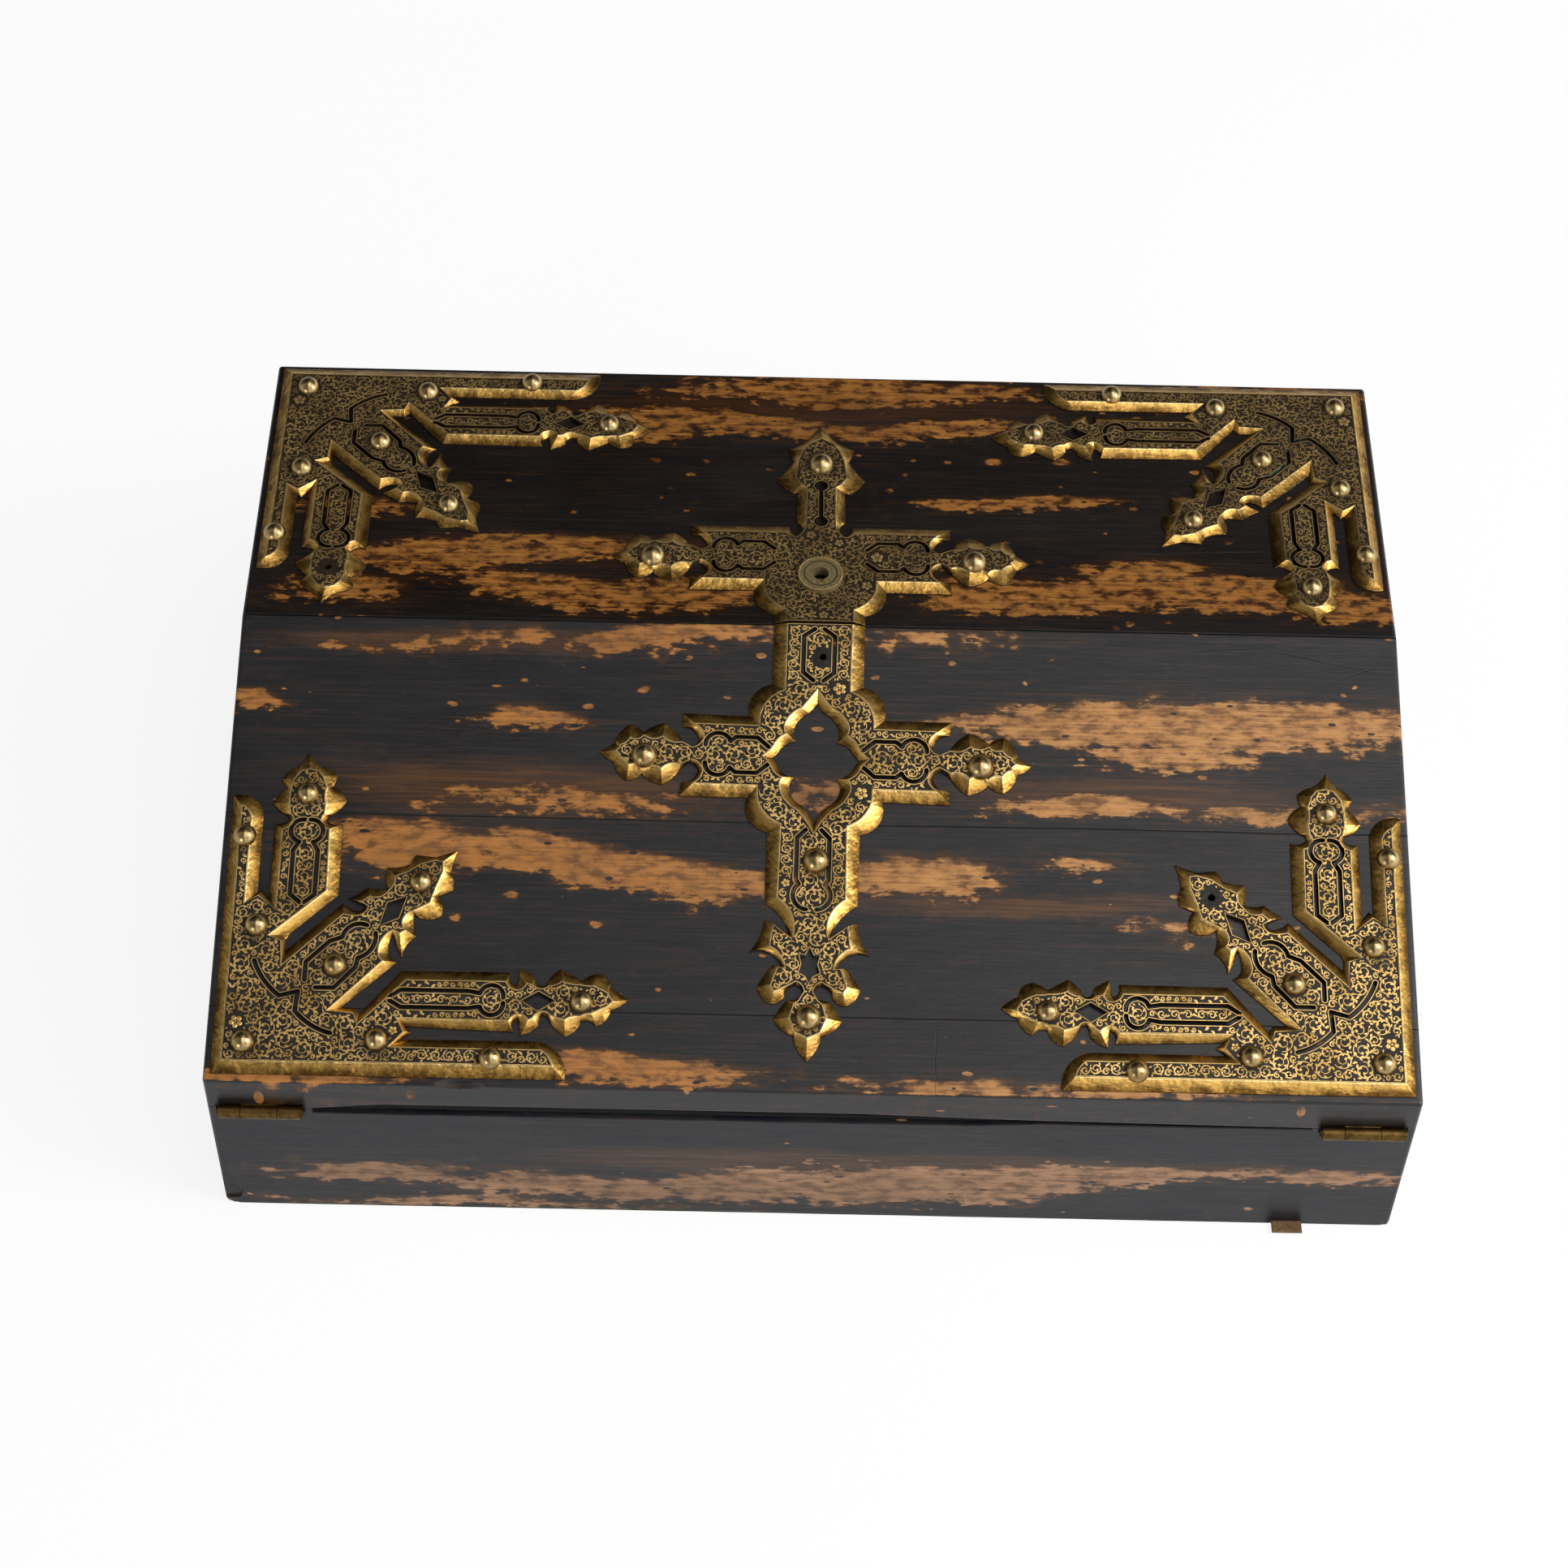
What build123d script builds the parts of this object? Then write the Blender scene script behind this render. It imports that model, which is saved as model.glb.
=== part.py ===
"""Slope-front stationery box in coromandel wood with pierced brass mounts.

Frame: X across the box, Y from front to back, Z up, origin at the middle of the underside.
The sloping flap opens forward on front hinges, the lid opens back on rear hinges.
"""

import math
import os

from build123d import *

# ---------------------------------------------------------------- driving dimensions, mm

WIDTH = 360.0
SLOPE_RUN = 146.4  # level distance from the front face to the join of flap and lid
LID_DEPTH = 110.1
FRONT_HEIGHT = 54.0  # front hinge line above the table
CASE_HEIGHT = 96.1  # underside of the lid above the table
BOARD = 13.5  # upright thickness of lid and flap
WALL = 9.0
SEAT_GAP = 0.3  # between the rims of the case and the boards that close on them
JOIN_GAP = 0.4  # between the flap and the lid
ARRIS_RADIUS = 1.2

BASE_BAIZE = 1.0
BOTTOM_BOARD = 7.0
BAIZE_INSET = 0.3

# velvet strip that shows along the front edge, between the two hinges
RELIEF_MARGIN = 2.8  # from its end to a hinge
RELIEF_DROP = 2.6
RELIEF_RISE = 2.6
RELIEF_DEPTH = 7.0
# Its edges from end to end: share of the half length, share of the rise or the drop.
RELIEF_TOP = ((-1, 0), (-0.86, 1), (0.1, 1), (0.42, 0.4), (1, 0))
RELIEF_LOW = ((1, 0.45), (0.45, 0.45), (0.3, 1), (-1, 1))
VELVET_SETBACK = 0.9
VELVET_GAP = 0.35

TAB_WIDTH = 9.5
TAB_THICKNESS = 0.9
TAB_REACH = 4.0
TAB_TUCK = 8.0
TAB_FROM_SIDE = 32.0  # from the side of the case to the middle of the tab
TAB_CLEAR = 0.2

# wear on the lower corners of the front and on the front arris of the flap
CHIP_WIDTH = 5.5
CHIP_HEIGHT = 3.5
CHIP_REACH = 6.0  # from the front face
WORN_RADIUS = 3.5
PATCH_DEPTH = 0.7
PATCH_OUTLINE = [(-1.0, 3.0), (-1.0, 17.4), (2.2, 17.0), (4.6, 15.4), (4.1, 12.0), (6.0, 8.0), (4.9, 4.0)]
NICK_FROM_SIDE = 76.0
NICK_RADIUS = 30.0
NICK_DEPTH = 1.25

# butt hinges
HINGE_LENGTH = 24.6
HINGE_INSET = 3.6  # from the side of the box to the end of the hinge
KNUCKLE_RADIUS = 2.1
KNUCKLE_PROUD = 1.5  # hinge axis in front of the face
KNUCKLE_ENDS = (6.5, 7.0)  # lengths of the first and last knuckles
KNUCKLE_GAP = 0.2
KNUCKLE_CLEAR = 0.35
LEAF_THICKNESS = 1.1
LEAF_WIDTH = 7.0
LEAF_GAP = 0.3
PIN_RADIUS = 0.75
PIN_CLEAR = 0.05
PIN_HEAD_RADIUS = 1.4
PIN_HEAD_THICKNESS = 0.6
BACK_HINGE_INSET = 40.0
SCREW_RADIUS = 0.8
SCREW_HEAD_RADIUS = 1.6
SCREW_LENGTH = 6.0
SCREW_FROM_FACE = 4.6
SCREW_PITCH = 14.0
DRIVER_SLOT_WIDTH = 0.5
DRIVER_SLOT_DEPTH = 0.4

# brass mounts
MOUNT_INSET = 2.2  # from the edge of the board to the outline of a corner mount
MOUNT_FOOT = 0.5
MOUNT_HEIGHT = 2.0
CROSS_TIP_MARGIN = 9.3
CROSS_LEAN = 0.9  # degrees that the long cross leans out of square
FLAP_CORNER_MARGIN = 46.8  # from the tip of a corner mount to the join
LID_CORNER_MARGIN = 4.6  # from the tip of a corner mount to the join
SLOT_WIDTH = 1.3
DOME_RADIUS = 3.6
CROSS_DOME_RADIUS = 4.2
DOME_HEIGHT_SHARE = 0.84
STUD_RADIUS = 1.1
STUD_LENGTH = 8.0
HOLE_CLEAR = 0.05

ESCUTCHEON_RADIUS = 7.2
ESCUTCHEON_HEIGHT = 1.6
ESCUTCHEON_COLLAR = 5.4
KEYHOLE_RADIUS = 2.6
KEYHOLE_Y = 18.9  # from the join to the middle of the keyhole
KEY_SLOT_WIDTH = 1.7
KEY_SLOT_REACH = 3.6

# lock in the lid
LOCK_WIDTH = 44.0
LOCK_DEPTH = 30.0
LOCK_HEIGHT = 8.0
LOCK_WALL = 1.2
LOCK_LIP = 5.0  # of the cover, round three sides of the case
LOCK_SCREW_PLACES = (6.0, 25.0)  # from the join
LOCK_MARGIN = 1.0  # between the cover and the lining
BOLT_WIDTH = 16.0
BOLT_HEIGHT = 4.0
BOLT_LENGTH = 13.0
BOLT_TRAVEL = 5.0
BOLT_CLEAR = 0.3
STRIKE_MARGIN = 5.0  # each side of the bolt
STRIKE_LIP = 1.4  # above and below the bolt
STRIKE_BACK = 1.0  # beyond the thrown bolt
STRIKE_THICKNESS = 1.2
KEY_POST_RADIUS = 0.9

# soft linings
PAD_THICKNESS = 1.6
PAD_MARGIN = 12.0
LID_PAD_THICKNESS = 2.5
LID_PAD_MARGIN = 14.0

# letter rack and writing fittings
FIT_GAP = 0.4
CHEEK = 5.0
DIVIDER = 4.0
GROOVE = 2.0
GROOVE_CLEAR = 0.1
RACK_DEPTH = 96.0
RACK_TOPS = (52.0, 63.0, 74.0, 85.0)
NOTCH_RADIUS = 26.0
NOTCH_RISE = 9.0  # of the notch's centre above the top of a divider

STAND_DEPTH = 44.0
STAND_HEIGHT = 27.0
STAND_WALL = 5.0
STAND_FLOOR = 5.0  # under the inkwells
WELL = 34.0
TRAY_FALL = 13.0
INK_SIDE = 32.0
INK_HEIGHT = 30.0
INK_FLOOR = 4.0
INK_EDGE = 3.0
NECK_RADIUS = 8.5
COLLAR_RADIUS = 11.0
COLLAR_HEIGHT = 4.5
CAP_HEIGHT = 7.0
CAP_EDGE = 1.5
CAP_GAP = 0.2
CAP_WALL = 1.2
CAP_PIN_RADIUS = 0.6
CAP_LUG_RADIUS = 1.6
CAP_LUG_WIDTH = 3.0
CAP_LUG_GAP = 0.15
CAP_LUG_CLEAR = 0.6  # from the lugs to the round side of the cap

# ---------------------------------------------------------------- derived places

DEPTH = SLOPE_RUN + LID_DEPTH
FRONT = -DEPTH / 2
BACK = DEPTH / 2
JOIN = FRONT + SLOPE_RUN
HINGE_Y = FRONT - KNUCKLE_PROUD
BACK_HINGE_Y = BACK + KNUCKLE_PROUD
SLOPE = math.atan2(CASE_HEIGHT - FRONT_HEIGHT, JOIN - HINGE_Y)
SLOPE_DEG = math.degrees(SLOPE)
TOP = CASE_HEIGHT + BOARD
HALF = WIDTH / 2
INNER_HALF = HALF - WALL
RELIEF_HALF = HALF - HINGE_INSET - HINGE_LENGTH - RELIEF_MARGIN
TAB_X = HALF - TAB_FROM_SIDE
FLOOR = BASE_BAIZE + BOTTOM_BOARD
BOARD_SQUARE = BOARD * math.cos(SLOPE)  # flap's thickness square to its faces
FLAP_LENGTH = SLOPE_RUN / math.cos(SLOPE)


def slope_height(y):
    """Height of the flap's underside at y."""
    return FRONT_HEIGHT + (y - HINGE_Y) * math.tan(SLOPE)


# The flap's outer face: origin at its front arris on the middle line, Y up the slope.
FLAP_FACE = Plane(
    origin=(0, FRONT, slope_height(FRONT) + BOARD),
    x_dir=(1, 0, 0),
    z_dir=(0, -math.sin(SLOPE), math.cos(SLOPE)),
)
# The lid's outer face: origin at the join on the middle line, Y to the back.
LID_FACE = Plane(origin=(0, JOIN, TOP), x_dir=(1, 0, 0), z_dir=(0, 0, 1))

# ---------------------------------------------------------------- outlines of the mounts
# Each row is a corner of the casting: its place and the bow of the edge that follows, first on
# the foot, then on the rim of the engraved face. A bow is positive where the edge swells outwards.

# Corner mount, from its outer corner: X along the board's edge, Y inwards.
CORNER_ARM = 75.0  # what lies beyond this moves with the length of the upright arm
CORNER_TIP = 103.3
CORNER_ROWS = [
    (0.0, 0.0, 0, 3.1, 3.7, 0),
    (104.4, 0.0, 3.9, 100.6, 3.8, 0.7),
    (93.7, 11.8, 0, 97.2, 8.8, 0),
    (55.6, 11.6, 0, 52.0, 8.8, 0),
    (58.8, 13.8, 0, 56.4, 13.5, 0),
    (56.4, 15.6, 0, 54.0, 17.7, 0),
    (88.6, 14.6, -0.9, 87.3, 17.6, -0.5),
    (89.8, 18.7, 0, 90.0, 19.7, -0.4),
    (90.8, 13.4, 0.5, 92.9, 17.9, 0),
    (95.9, 16.7, -0.2, 94.3, 18.5, -0.5),
    (96.9, 20.0, -0.4, 97.3, 20.6, -0.3),
    (98.9, 18.6, 0.5, 99.2, 19.5, 0.2),
    (104.0, 13.5, 0.9, 103.8, 18.2, -0.5),
    (108.6, 18.4, -0.8, 108.3, 19.4, -0.3),
    (113.1, 16.8, 0.9, 111.6, 20.4, 0),
    (117.3, 21.9, 0.4, 116.0, 22.5, 0),
    (122.3, 25.2, 0.3, 117.9, 24.2, 0),
    (116.9, 29.0, 1.4, 116.1, 27.2, 0),
    (112.6, 33.3, 0.3, 111.9, 29.2, -0.2),
    (108.4, 31.1, 0, 108.0, 29.5, -0.4),
    (102.1, 34.7, 0.2, 102.7, 30.5, -0.4),
    (98.4, 31.1, -0.5, 98.6, 28.9, -0.3),
    (96.6, 29.1, -0.6, 96.3, 28.0, -0.3),
    (94.5, 32.0, 0.2, 93.8, 29.2, 0),
    (89.7, 34.6, -0.3, 91.9, 29.5, -0.6),
    (88.9, 29.3, -1.0, 89.2, 27.4, -0.6),
    (87.0, 33.3, 0, 86.0, 30.0, 0),
    (54.5, 33.0, 0, 56.2, 29.9, 0),
    (43.0, 19.3, 0, 42.4, 15.7, 0),
    (41.3, 21.1, 0, 41.3, 19.2, 0),
    (37.2, 21.1, 0, 33.3, 19.7, 0),
    (53.0, 35.7, -0.9, 48.8, 35.6, -0.5),
    (50.2, 40.1, -0.4, 47.4, 39.4, -0.9),
    (51.3, 44.4, 0.3, 51.3, 45.4, 0),
    (54.4, 37.3, -1.0, 53.4, 44.4, 0),
    (58.3, 43.9, -0.6, 55.0, 45.5, -1.8),
    (57.4, 51.0, 1.3, 56.9, 51.6, 0),
    (65.3, 50.7, 0.9, 61.9, 54.4, 0),
    (64.2, 57.0, 0, 62.6, 56.7, 0),
    (68.3, 59.0, 0.6, 63.3, 59.3, 0),
    (67.6, 64.9, -0.3, 65.3, 64.4, 0),
    (69.4, 72.0, 0, 65.2, 67.9, 0),
    (62.8, 69.7, 0, 62.9, 68.3, 0),
    (56.8, 70.3, 0.2, 58.4, 67.0, 0),
    (55.3, 67.4, -0.5, 55.0, 64.6, 0),
    (48.4, 66.0, 0.5, 51.0, 62.9, -0.6),
    (48.6, 59.3, -0.4, 49.2, 58.2, -1.1),
    (42.7, 59.5, -0.3, 43.8, 56.3, 0),
    (37.1, 55.7, -0.2, 41.4, 54.5, 0.2),
    (42.3, 53.4, -0.5, 43.4, 52.9, -0.6),
    (40.2, 51.7, -0.5, 40.7, 50.1, -0.3),
    (35.8, 54.1, 0, 36.2, 50.5, 0),
    (19.6, 38.9, 0, 18.6, 33.6, 0),
    (19.4, 42.1, 0, 18.3, 41.6, 0),
    (20.3, 44.0, 0, 14.2, 43.0, 0),
    (34.1, 56.7, 0, 30.6, 57.6, 0),
    (34.0, 80.1, -1.0, 30.3, 77.8, -0.6),
    (29.0, 81.3, -0.4, 27.6, 80.2, -0.3),
    (30.6, 82.9, 0.4, 28.4, 82.5, 0),
    (34.6, 87.5, 0.7, 28.6, 85.9, -0.4),
    (30.2, 92.1, 0.2, 28.5, 91.3, 0),
    (31.3, 96.0, 0.4, 27.2, 95.0, 0),
    (26.4, 98.7, -0.4, 25.6, 96.9, 0),
    (22.0, 103.3, -0.3, 22.9, 97.5, 0),
    (18.9, 98.5, 0.6, 20.4, 96.9, 0),
    (14.5, 94.4, 0, 18.2, 93.9, 0),
    (16.2, 91.4, 0.4, 17.5, 90.2, 0),
    (12.3, 86.5, 0.4, 17.3, 85.8, 0),
    (16.5, 82.6, -0.3, 18.0, 82.3, -0.3),
    (17.7, 81.1, -0.7, 19.0, 80.4, -0.6),
    (13.4, 79.8, 0, 15.9, 77.5, 0),
    (13.3, 55.4, 0, 15.8, 51.4, 0),
    (11.2, 58.1, 0, 10.2, 55.9, 0),
    (9.8, 57.1, 0, 6.3, 53.3, 0),
    (9.8, 80.6, 3.4, 6.3, 79.1, 1.3),
    (0.2, 88.7, 0, 3.0, 85.2, 0),
]
CORNER_STUDS = [
    (9.0, 9.6),
    (48.4, 10.9),
    (82.3, 5.9),
    (108.5, 24.0),
    (34.7, 34.0),
    (10.4, 46.3),
    (4.7, 75.0),
    (22.9, 89.3),
    (58.7, 61.2),
]
UP_TIP_STUD = 7
DIAGONAL_STUD = 8
CORNER_DIAMONDS = [
    [(90.9, 24.0), (95.7, 26.9), (100.5, 24.2), (95.7, 20.9)],
    [(49.2, 54.1), (54.7, 56.1), (52.7, 49.4), (47.4, 47.1)],
]
CORNER_BRACKET = [(10.6, 35.0), (18.8, 24.0), (24.3, 25.5), (23.8, 19.3), (34.7, 12.6)]
CORNER_BRACKET_BOWS = [1.0, 0, 0, 1.0]
CORNER_BANDS = [
    ([(26.0, 29.2), (26.0, 34.8), (32.7, 41.5), (36.4, 42.9), (43.5, 46.8)], [0, 0, 0, -2.0]),
    ([(29.3, 26.8), (34.8, 26.8), (40.9, 33.5), (41.4, 36.4), (46.2, 44.3)], [0, 0, 0, 1.8]),
]
SIDE_ARM_SLOT = dict(axis=23.9, start=51.6, shoulder=54.9, stop=75.0, middle=81.6)
SIDE_ARM_BAND = 2.7  # half the distance between the two slots
SIDE_ARM_RING = 3.7
UP_ARM_SLOT = dict(axis=23.4, start=53.8, shoulder=56.2, stop=70.6, middle=76.7)
UP_ARM_BAND = 3.7
UP_ARM_RING = 3.9

# Right half of one arm of a cross, below the arm's own axis: X from the middle of the cross,
# Y from the arm's axis.
ARM_ROWS = [
    (20.7, -13.6, 0, 17.6, -10.1, 0),
    (41.4, -13.8, 0, 37.4, -10.0, 0),
    (41.0, -9.3, -1.2, 36.3, -9.0, -0.5),
    (36.0, -5.4, -0.8, 34.6, -5.4, -0.6),
    (38.6, -2.7, -0.2, 37.8, -2.1, 0),
    (41.3, -4.9, 0.5, 41.3, -3.9, -1.0),
    (46.7, -10.3, 0.6, 47.1, -5.5, -1.1),
    (53.0, -6.9, 0.5, 52.9, -5.7, -0.9),
    (57.6, -9.3, 0.5, 57.1, -4.6, -0.5),
    (61.5, -4.4, 0, 60.3, -2.1, 0),
    (61.9, -3.0, 0.4, 60.0, -1.3, 0),
]
ARM_TIP = (66.1, 0.0, 0, 61.4, 0.0, 0)
ARM_SLOT = [(14.6, 2.9), (18.0, 5.9), (24.6, 5.9), (26.3, 4.4), (33.9, 3.0)]
ARM_SLOT_BOWS = [0, 0, 0, 3.3]

# Long cross on the flap, right half below the arms, from the tip upwards.
CROSS_TAIL = 70.0  # what lies beyond this moves with the length of the shaft
CROSS_TOP = 143.1
CROSS_AXIS = 97.6  # of the arms
LONG_CROSS_ROWS = [
    (0.0, 0.0, 0.7, 0.0, 6.9, 0),
    (4.3, 7.9, 0.8, 3.8, 8.7, 0),
    (10.2, 12.9, 0.3, 5.6, 13.2, 0),
    (6.6, 18.7, 0, 4.4, 17.6, 0),
    (3.6, 19.5, -0.4, 3.0, 18.7, 0),
    (1.9, 21.7, -0.5, 1.4, 21.6, -0.5),
    (3.9, 23.8, -0.8, 3.7, 24.5, 0),
    (7.1, 20.3, 0.8, 8.4, 22.0, 0),
    (11.3, 17.8, 0.9, 10.4, 21.2, 0),
    (15.4, 23.0, 0.3, 11.5, 23.3, 0),
    (10.9, 29.9, 0, 9.5, 29.1, 0),
    (8.2, 29.3, -2.3, 7.3, 28.9, -1.1),
    (18.0, 34.0, -0.9, 12.3, 35.5, 0),
    (14.0, 44.3, 0.3, 11.2, 42.7, 0),
    (6.3, 40.0, -1.2, 5.6, 38.3, -2.4),
    (14.0, 49.7, 0, 10.4, 51.1, 0),
    (14.1, 72.9, 2.9, 10.2, 75.2, 2.6),
]
CROSS_EYE_ROWS = [
    (0.0, -21.2, -0.4, 0.0, -24.9, -0.4),
    (3.9, -15.6, 1.0, 5.4, -17.2, 1.0),
    (7.8, -9.6, 0.4, 10.8, -10.2, 0.4),
    (6.4, -6.3, 0.7, 9.8, -6.9, 0.4),
    (11.2, -3.6, 0, 13.0, -4.4, -0.3),
    (13.2, 0.0, -0.2, 16.2, 0.0, -0.3),
    (10.9, 2.9, 0.6, 12.9, 3.6, 0.5),
    (6.4, 5.6, 0.3, 9.2, 7.6, 0.3),
    (6.9, 9.9, 0.7, 9.7, 10.8, 0.9),
    (2.6, 15.2, -0.3, 4.6, 16.4, -0.3),
    (0.0, 18.6, 0, 0.0, 22.9, 0),
]
CROSS_STAR = [(0.0, 35.5), (1.2, 33.0), (3.0, 33.0), (2.3, 30.1), (3.1, 27.5), (1.0, 26.3), (0.0, 24.4)]
CROSS_SHAFT_SLOT = [(2.4, 73.6), (4.9, 70.9), (4.9, 57.1), (4.0, 55.6), (1.6, 47.6)]
CROSS_SHAFT_BOWS = [0, 0, 0, -2.8]
CROSS_HEAD_SLOT = [(1.5, 141.0), (4.8, 138.5), (4.8, 126.1), (1.6, 123.4)]
CROSS_STUDS = [(0.0, 13.4), (1.0, 63.4)]
CROSS_BARE_HOLE = (1.2, 131.6)
CROSS_ARM_STUDS = (-52.6, 50.4)
ARM_STUD_DROP = 1.3  # of the arm studs below the arms' axis

# Short cross on the lid, right half, from the join to the back.
SHORT_AXIS = 27.3
SHORT_CROSS_FOOT_ROWS = [
    (14.1, 0.0, 0, 10.4, 0.0, 0),
    (14.1, 3.6, 2.2, 10.5, 5.0, 2.4),
]
SHORT_CROSS_HEAD_ROWS = [
    (10.0, 41.1, -0.3, 10.9, 37.4, -0.3),
    (7.9, 36.8, -0.4, 7.8, 35.6, -0.5),
    (6.0, 40.3, -0.4, 4.9, 40.0, 0),
    (7.8, 43.0, 0, 4.7, 43.5, 0),
    (7.6, 56.0, 0, 4.7, 57.4, 0),
    (9.0, 55.9, 0.6, 6.3, 58.6, 0),
    (14.1, 61.8, -0.4, 8.3, 61.6, 0),
    (8.9, 70.0, 0.2, 7.4, 69.6, 0),
    (10.5, 75.3, -0.2, 5.9, 73.9, 0),
    (5.2, 78.6, -0.4, 4.0, 76.9, 0),
    (0.0, 86.4, 0, 0.0, 79.3, 0),
]
SHORT_KEYHOLE_SLOT = (42.4, 58.0)
SHORT_SLOT_HOLE = 2.2
SHORT_STUD_Y = 67.4
SHORT_ARM_STUDS = (-53.1, 48.6)

# ---------------------------------------------------------------- helpers

NODES = {}


def keep(name, shape):
    """Write one sub-part, made of one or more solids, under its node name."""
    shape = Compound(children=[Solid(s.wrapped) for s in shape.solids()])
    NODES[name] = shape


def block(low, high):
    """Box between two opposite corners."""
    size = [b - a for a, b in zip(low, high)]
    middle = [(a + b) / 2 for a, b in zip(low, high)]
    return Pos(*middle) * Box(*size)


def prism_x(points, low, high):
    """Solid with a YZ outline, from low to high along X."""
    wire = Wire.make_polygon([(low, y, z) for y, z in points])
    return Solid.extrude(Face(wire), Vector(high - low, 0, 0))


def rod_x(radius, y, z, low, high):
    """Round bar along X."""
    return Pos((low + high) / 2, y, z) * Rot(0, 90, 0) * Cylinder(radius, high - low)


def upright(radius, x, y, low, high):
    """Round bar along Z."""
    return Pos(x, y, (low + high) / 2) * Cylinder(radius, high - low)


def bowed_edge(start, end, bow, height):
    """Edge between two plan points at a height, an arc where it has a bow."""
    a = Vector(start[0], start[1], height)
    b = Vector(end[0], end[1], height)
    if bow == 0:
        return Edge.make_line(a, b)
    chord = b - a
    side = Vector(chord.Y, -chord.X, 0).normalized()
    return Edge.make_three_point_arc(a, (a + b) * 0.5 + side * bow, b)


def ring(points, height):
    """Closed loop of edges through (x, y, bow) points."""
    following = points[1:] + points[:1]
    return [bowed_edge(p, q, p[2], height) for p, q in zip(points, following)]


def casting(rows, low=0.0, step=MOUNT_FOOT, high=MOUNT_HEIGHT):
    """Plate with an upright foot and a chamfer that runs up to the rim of its face."""
    foot = [row[:3] for row in rows]
    rim = [row[3:] for row in rows]
    levels = [ring(foot, low), ring(foot, step), ring(rim, high)]
    faces = [Face(Wire(levels[0])), Face(Wire(levels[2]))]
    for lower, upper in zip(levels, levels[1:]):
        faces += [Face.make_surface_from_curves(a, b) for a, b in zip(lower, upper)]
    return Solid(Shell(faces))


def flipped(rows, mirror_x=False, mirror_y=False):
    """The same corners mirrored, in the order that keeps the outline turning one way."""
    sign_x = -1 if mirror_x else 1
    sign_y = -1 if mirror_y else 1
    turned = list(reversed(rows))
    bows = turned[1:] + turned[:1]
    return [
        (sign_x * r[0], sign_y * r[1], b[2], sign_x * r[3], sign_y * r[4], b[5])
        for r, b in zip(turned, bows)
    ]


def moved(rows, dy):
    """Corners shifted along Y."""
    return [(x, y + dy, bow, u, v + dy, swell) for x, y, bow, u, v, swell in rows]


def stretched(rows, station, extra):
    """Corners beyond a station moved on by the extra length."""
    return [moved([row], extra)[0] if row[1] > station else row for row in rows]


def shifted(points, station, extra):
    """Plan points beyond a station moved on by the extra length."""
    return [(x, y + extra) if y > station else (x, y) for x, y in points]


def cutter(face):
    """Upright cut through a mount, from a plan face."""
    return Solid.extrude(Pos(0, 0, -1) * face, Vector(0, 0, MOUNT_HEIGHT + 2))


def band_cut(points, bows=None):
    """Narrow slot that follows a line of plan points."""
    bows = bows or [0] * (len(points) - 1)
    edges = [bowed_edge(p, q, bow, 0) for p, q, bow in zip(points, points[1:], bows)]
    return cutter(SlotArc(Wire(edges), SLOT_WIDTH).face())


def polygon_cut(points):
    """Cut with a straight-sided outline."""
    return cutter(Face(Wire.make_polygon([(x, y, 0) for x, y in points])))


def round_cut(x, y, radius):
    """Round hole through a mount."""
    return upright(radius, x, y, -1, MOUNT_HEIGHT + 1)


def mirrored_points(points):
    """Plan points mirrored across the Y axis."""
    return [(-x, y) for x, y in points]


def keyhole_slots(axis, start, shoulder, stop, middle, half, radius, upright_arm):
    """Pair of slots with a pointed end and a ring end, each side of an arm's axis."""
    cuts = []
    for side in (1, -1):
        line = [(start, 0.7), (shoulder, half), (stop, half), (middle - radius * 0.86, 2.1)]
        line.append((middle + radius, 0.9))
        bows = [0, 0, 0, radius * 0.86]
        points = [(x, axis + side * y) for x, y in line]
        turn = 1 if side < 0 else -1
        if upright_arm:
            points = [(y, x) for x, y in points]
            turn = -turn
        cuts.append(band_cut(points, [turn * bow for bow in bows]))
    return cuts


def stud(radius):
    """Dome-headed pin: its dome stands on a mount, its shank goes down through it."""
    height = radius * DOME_HEIGHT_SHARE
    ball = (radius**2 + height**2) / (2 * height)
    dome = Pos(0, 0, height - ball) * Sphere(ball)
    dome &= Pos(0, 0, radius) * Box(4 * radius, 4 * radius, 2 * radius)
    return Pos(0, 0, MOUNT_HEIGHT) * dome + upright(STUD_RADIUS, 0, 0, -STUD_LENGTH, MOUNT_HEIGHT)


def stud_hole():
    """Hole for the shank of a stud, in mount and board."""
    return upright(STUD_RADIUS + HOLE_CLEAR, 0, 0, -STUD_LENGTH - HOLE_CLEAR, MOUNT_HEIGHT + 1)


def subtract(shape, cuts):
    """Take several cuts out of a shape."""
    for cut in cuts:
        shape -= cut
    return shape


def softened(board, is_soft):
    """Board with the arrises rounded whose middle passes a test."""
    edges = [edge for edge in board.edges() if is_soft(edge @ 0.5)]
    return fillet(edges, ARRIS_RADIUS)


def mirrored(shape):
    """The same shape on the other side of the box."""
    return mirror(shape, about=Plane.YZ)


def screw():
    """Countersunk screw along Z, with the face of its slotted head at the origin."""
    cone = SCREW_HEAD_RADIUS - SCREW_RADIUS
    head = Pos(0, 0, -cone / 2) * Cone(SCREW_RADIUS, SCREW_HEAD_RADIUS, cone)
    slot = Box(3 * SCREW_HEAD_RADIUS, DRIVER_SLOT_WIDTH, 2 * DRIVER_SLOT_DEPTH)
    return head + upright(SCREW_RADIUS, 0, 0, -SCREW_LENGTH, -cone) - slot


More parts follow.
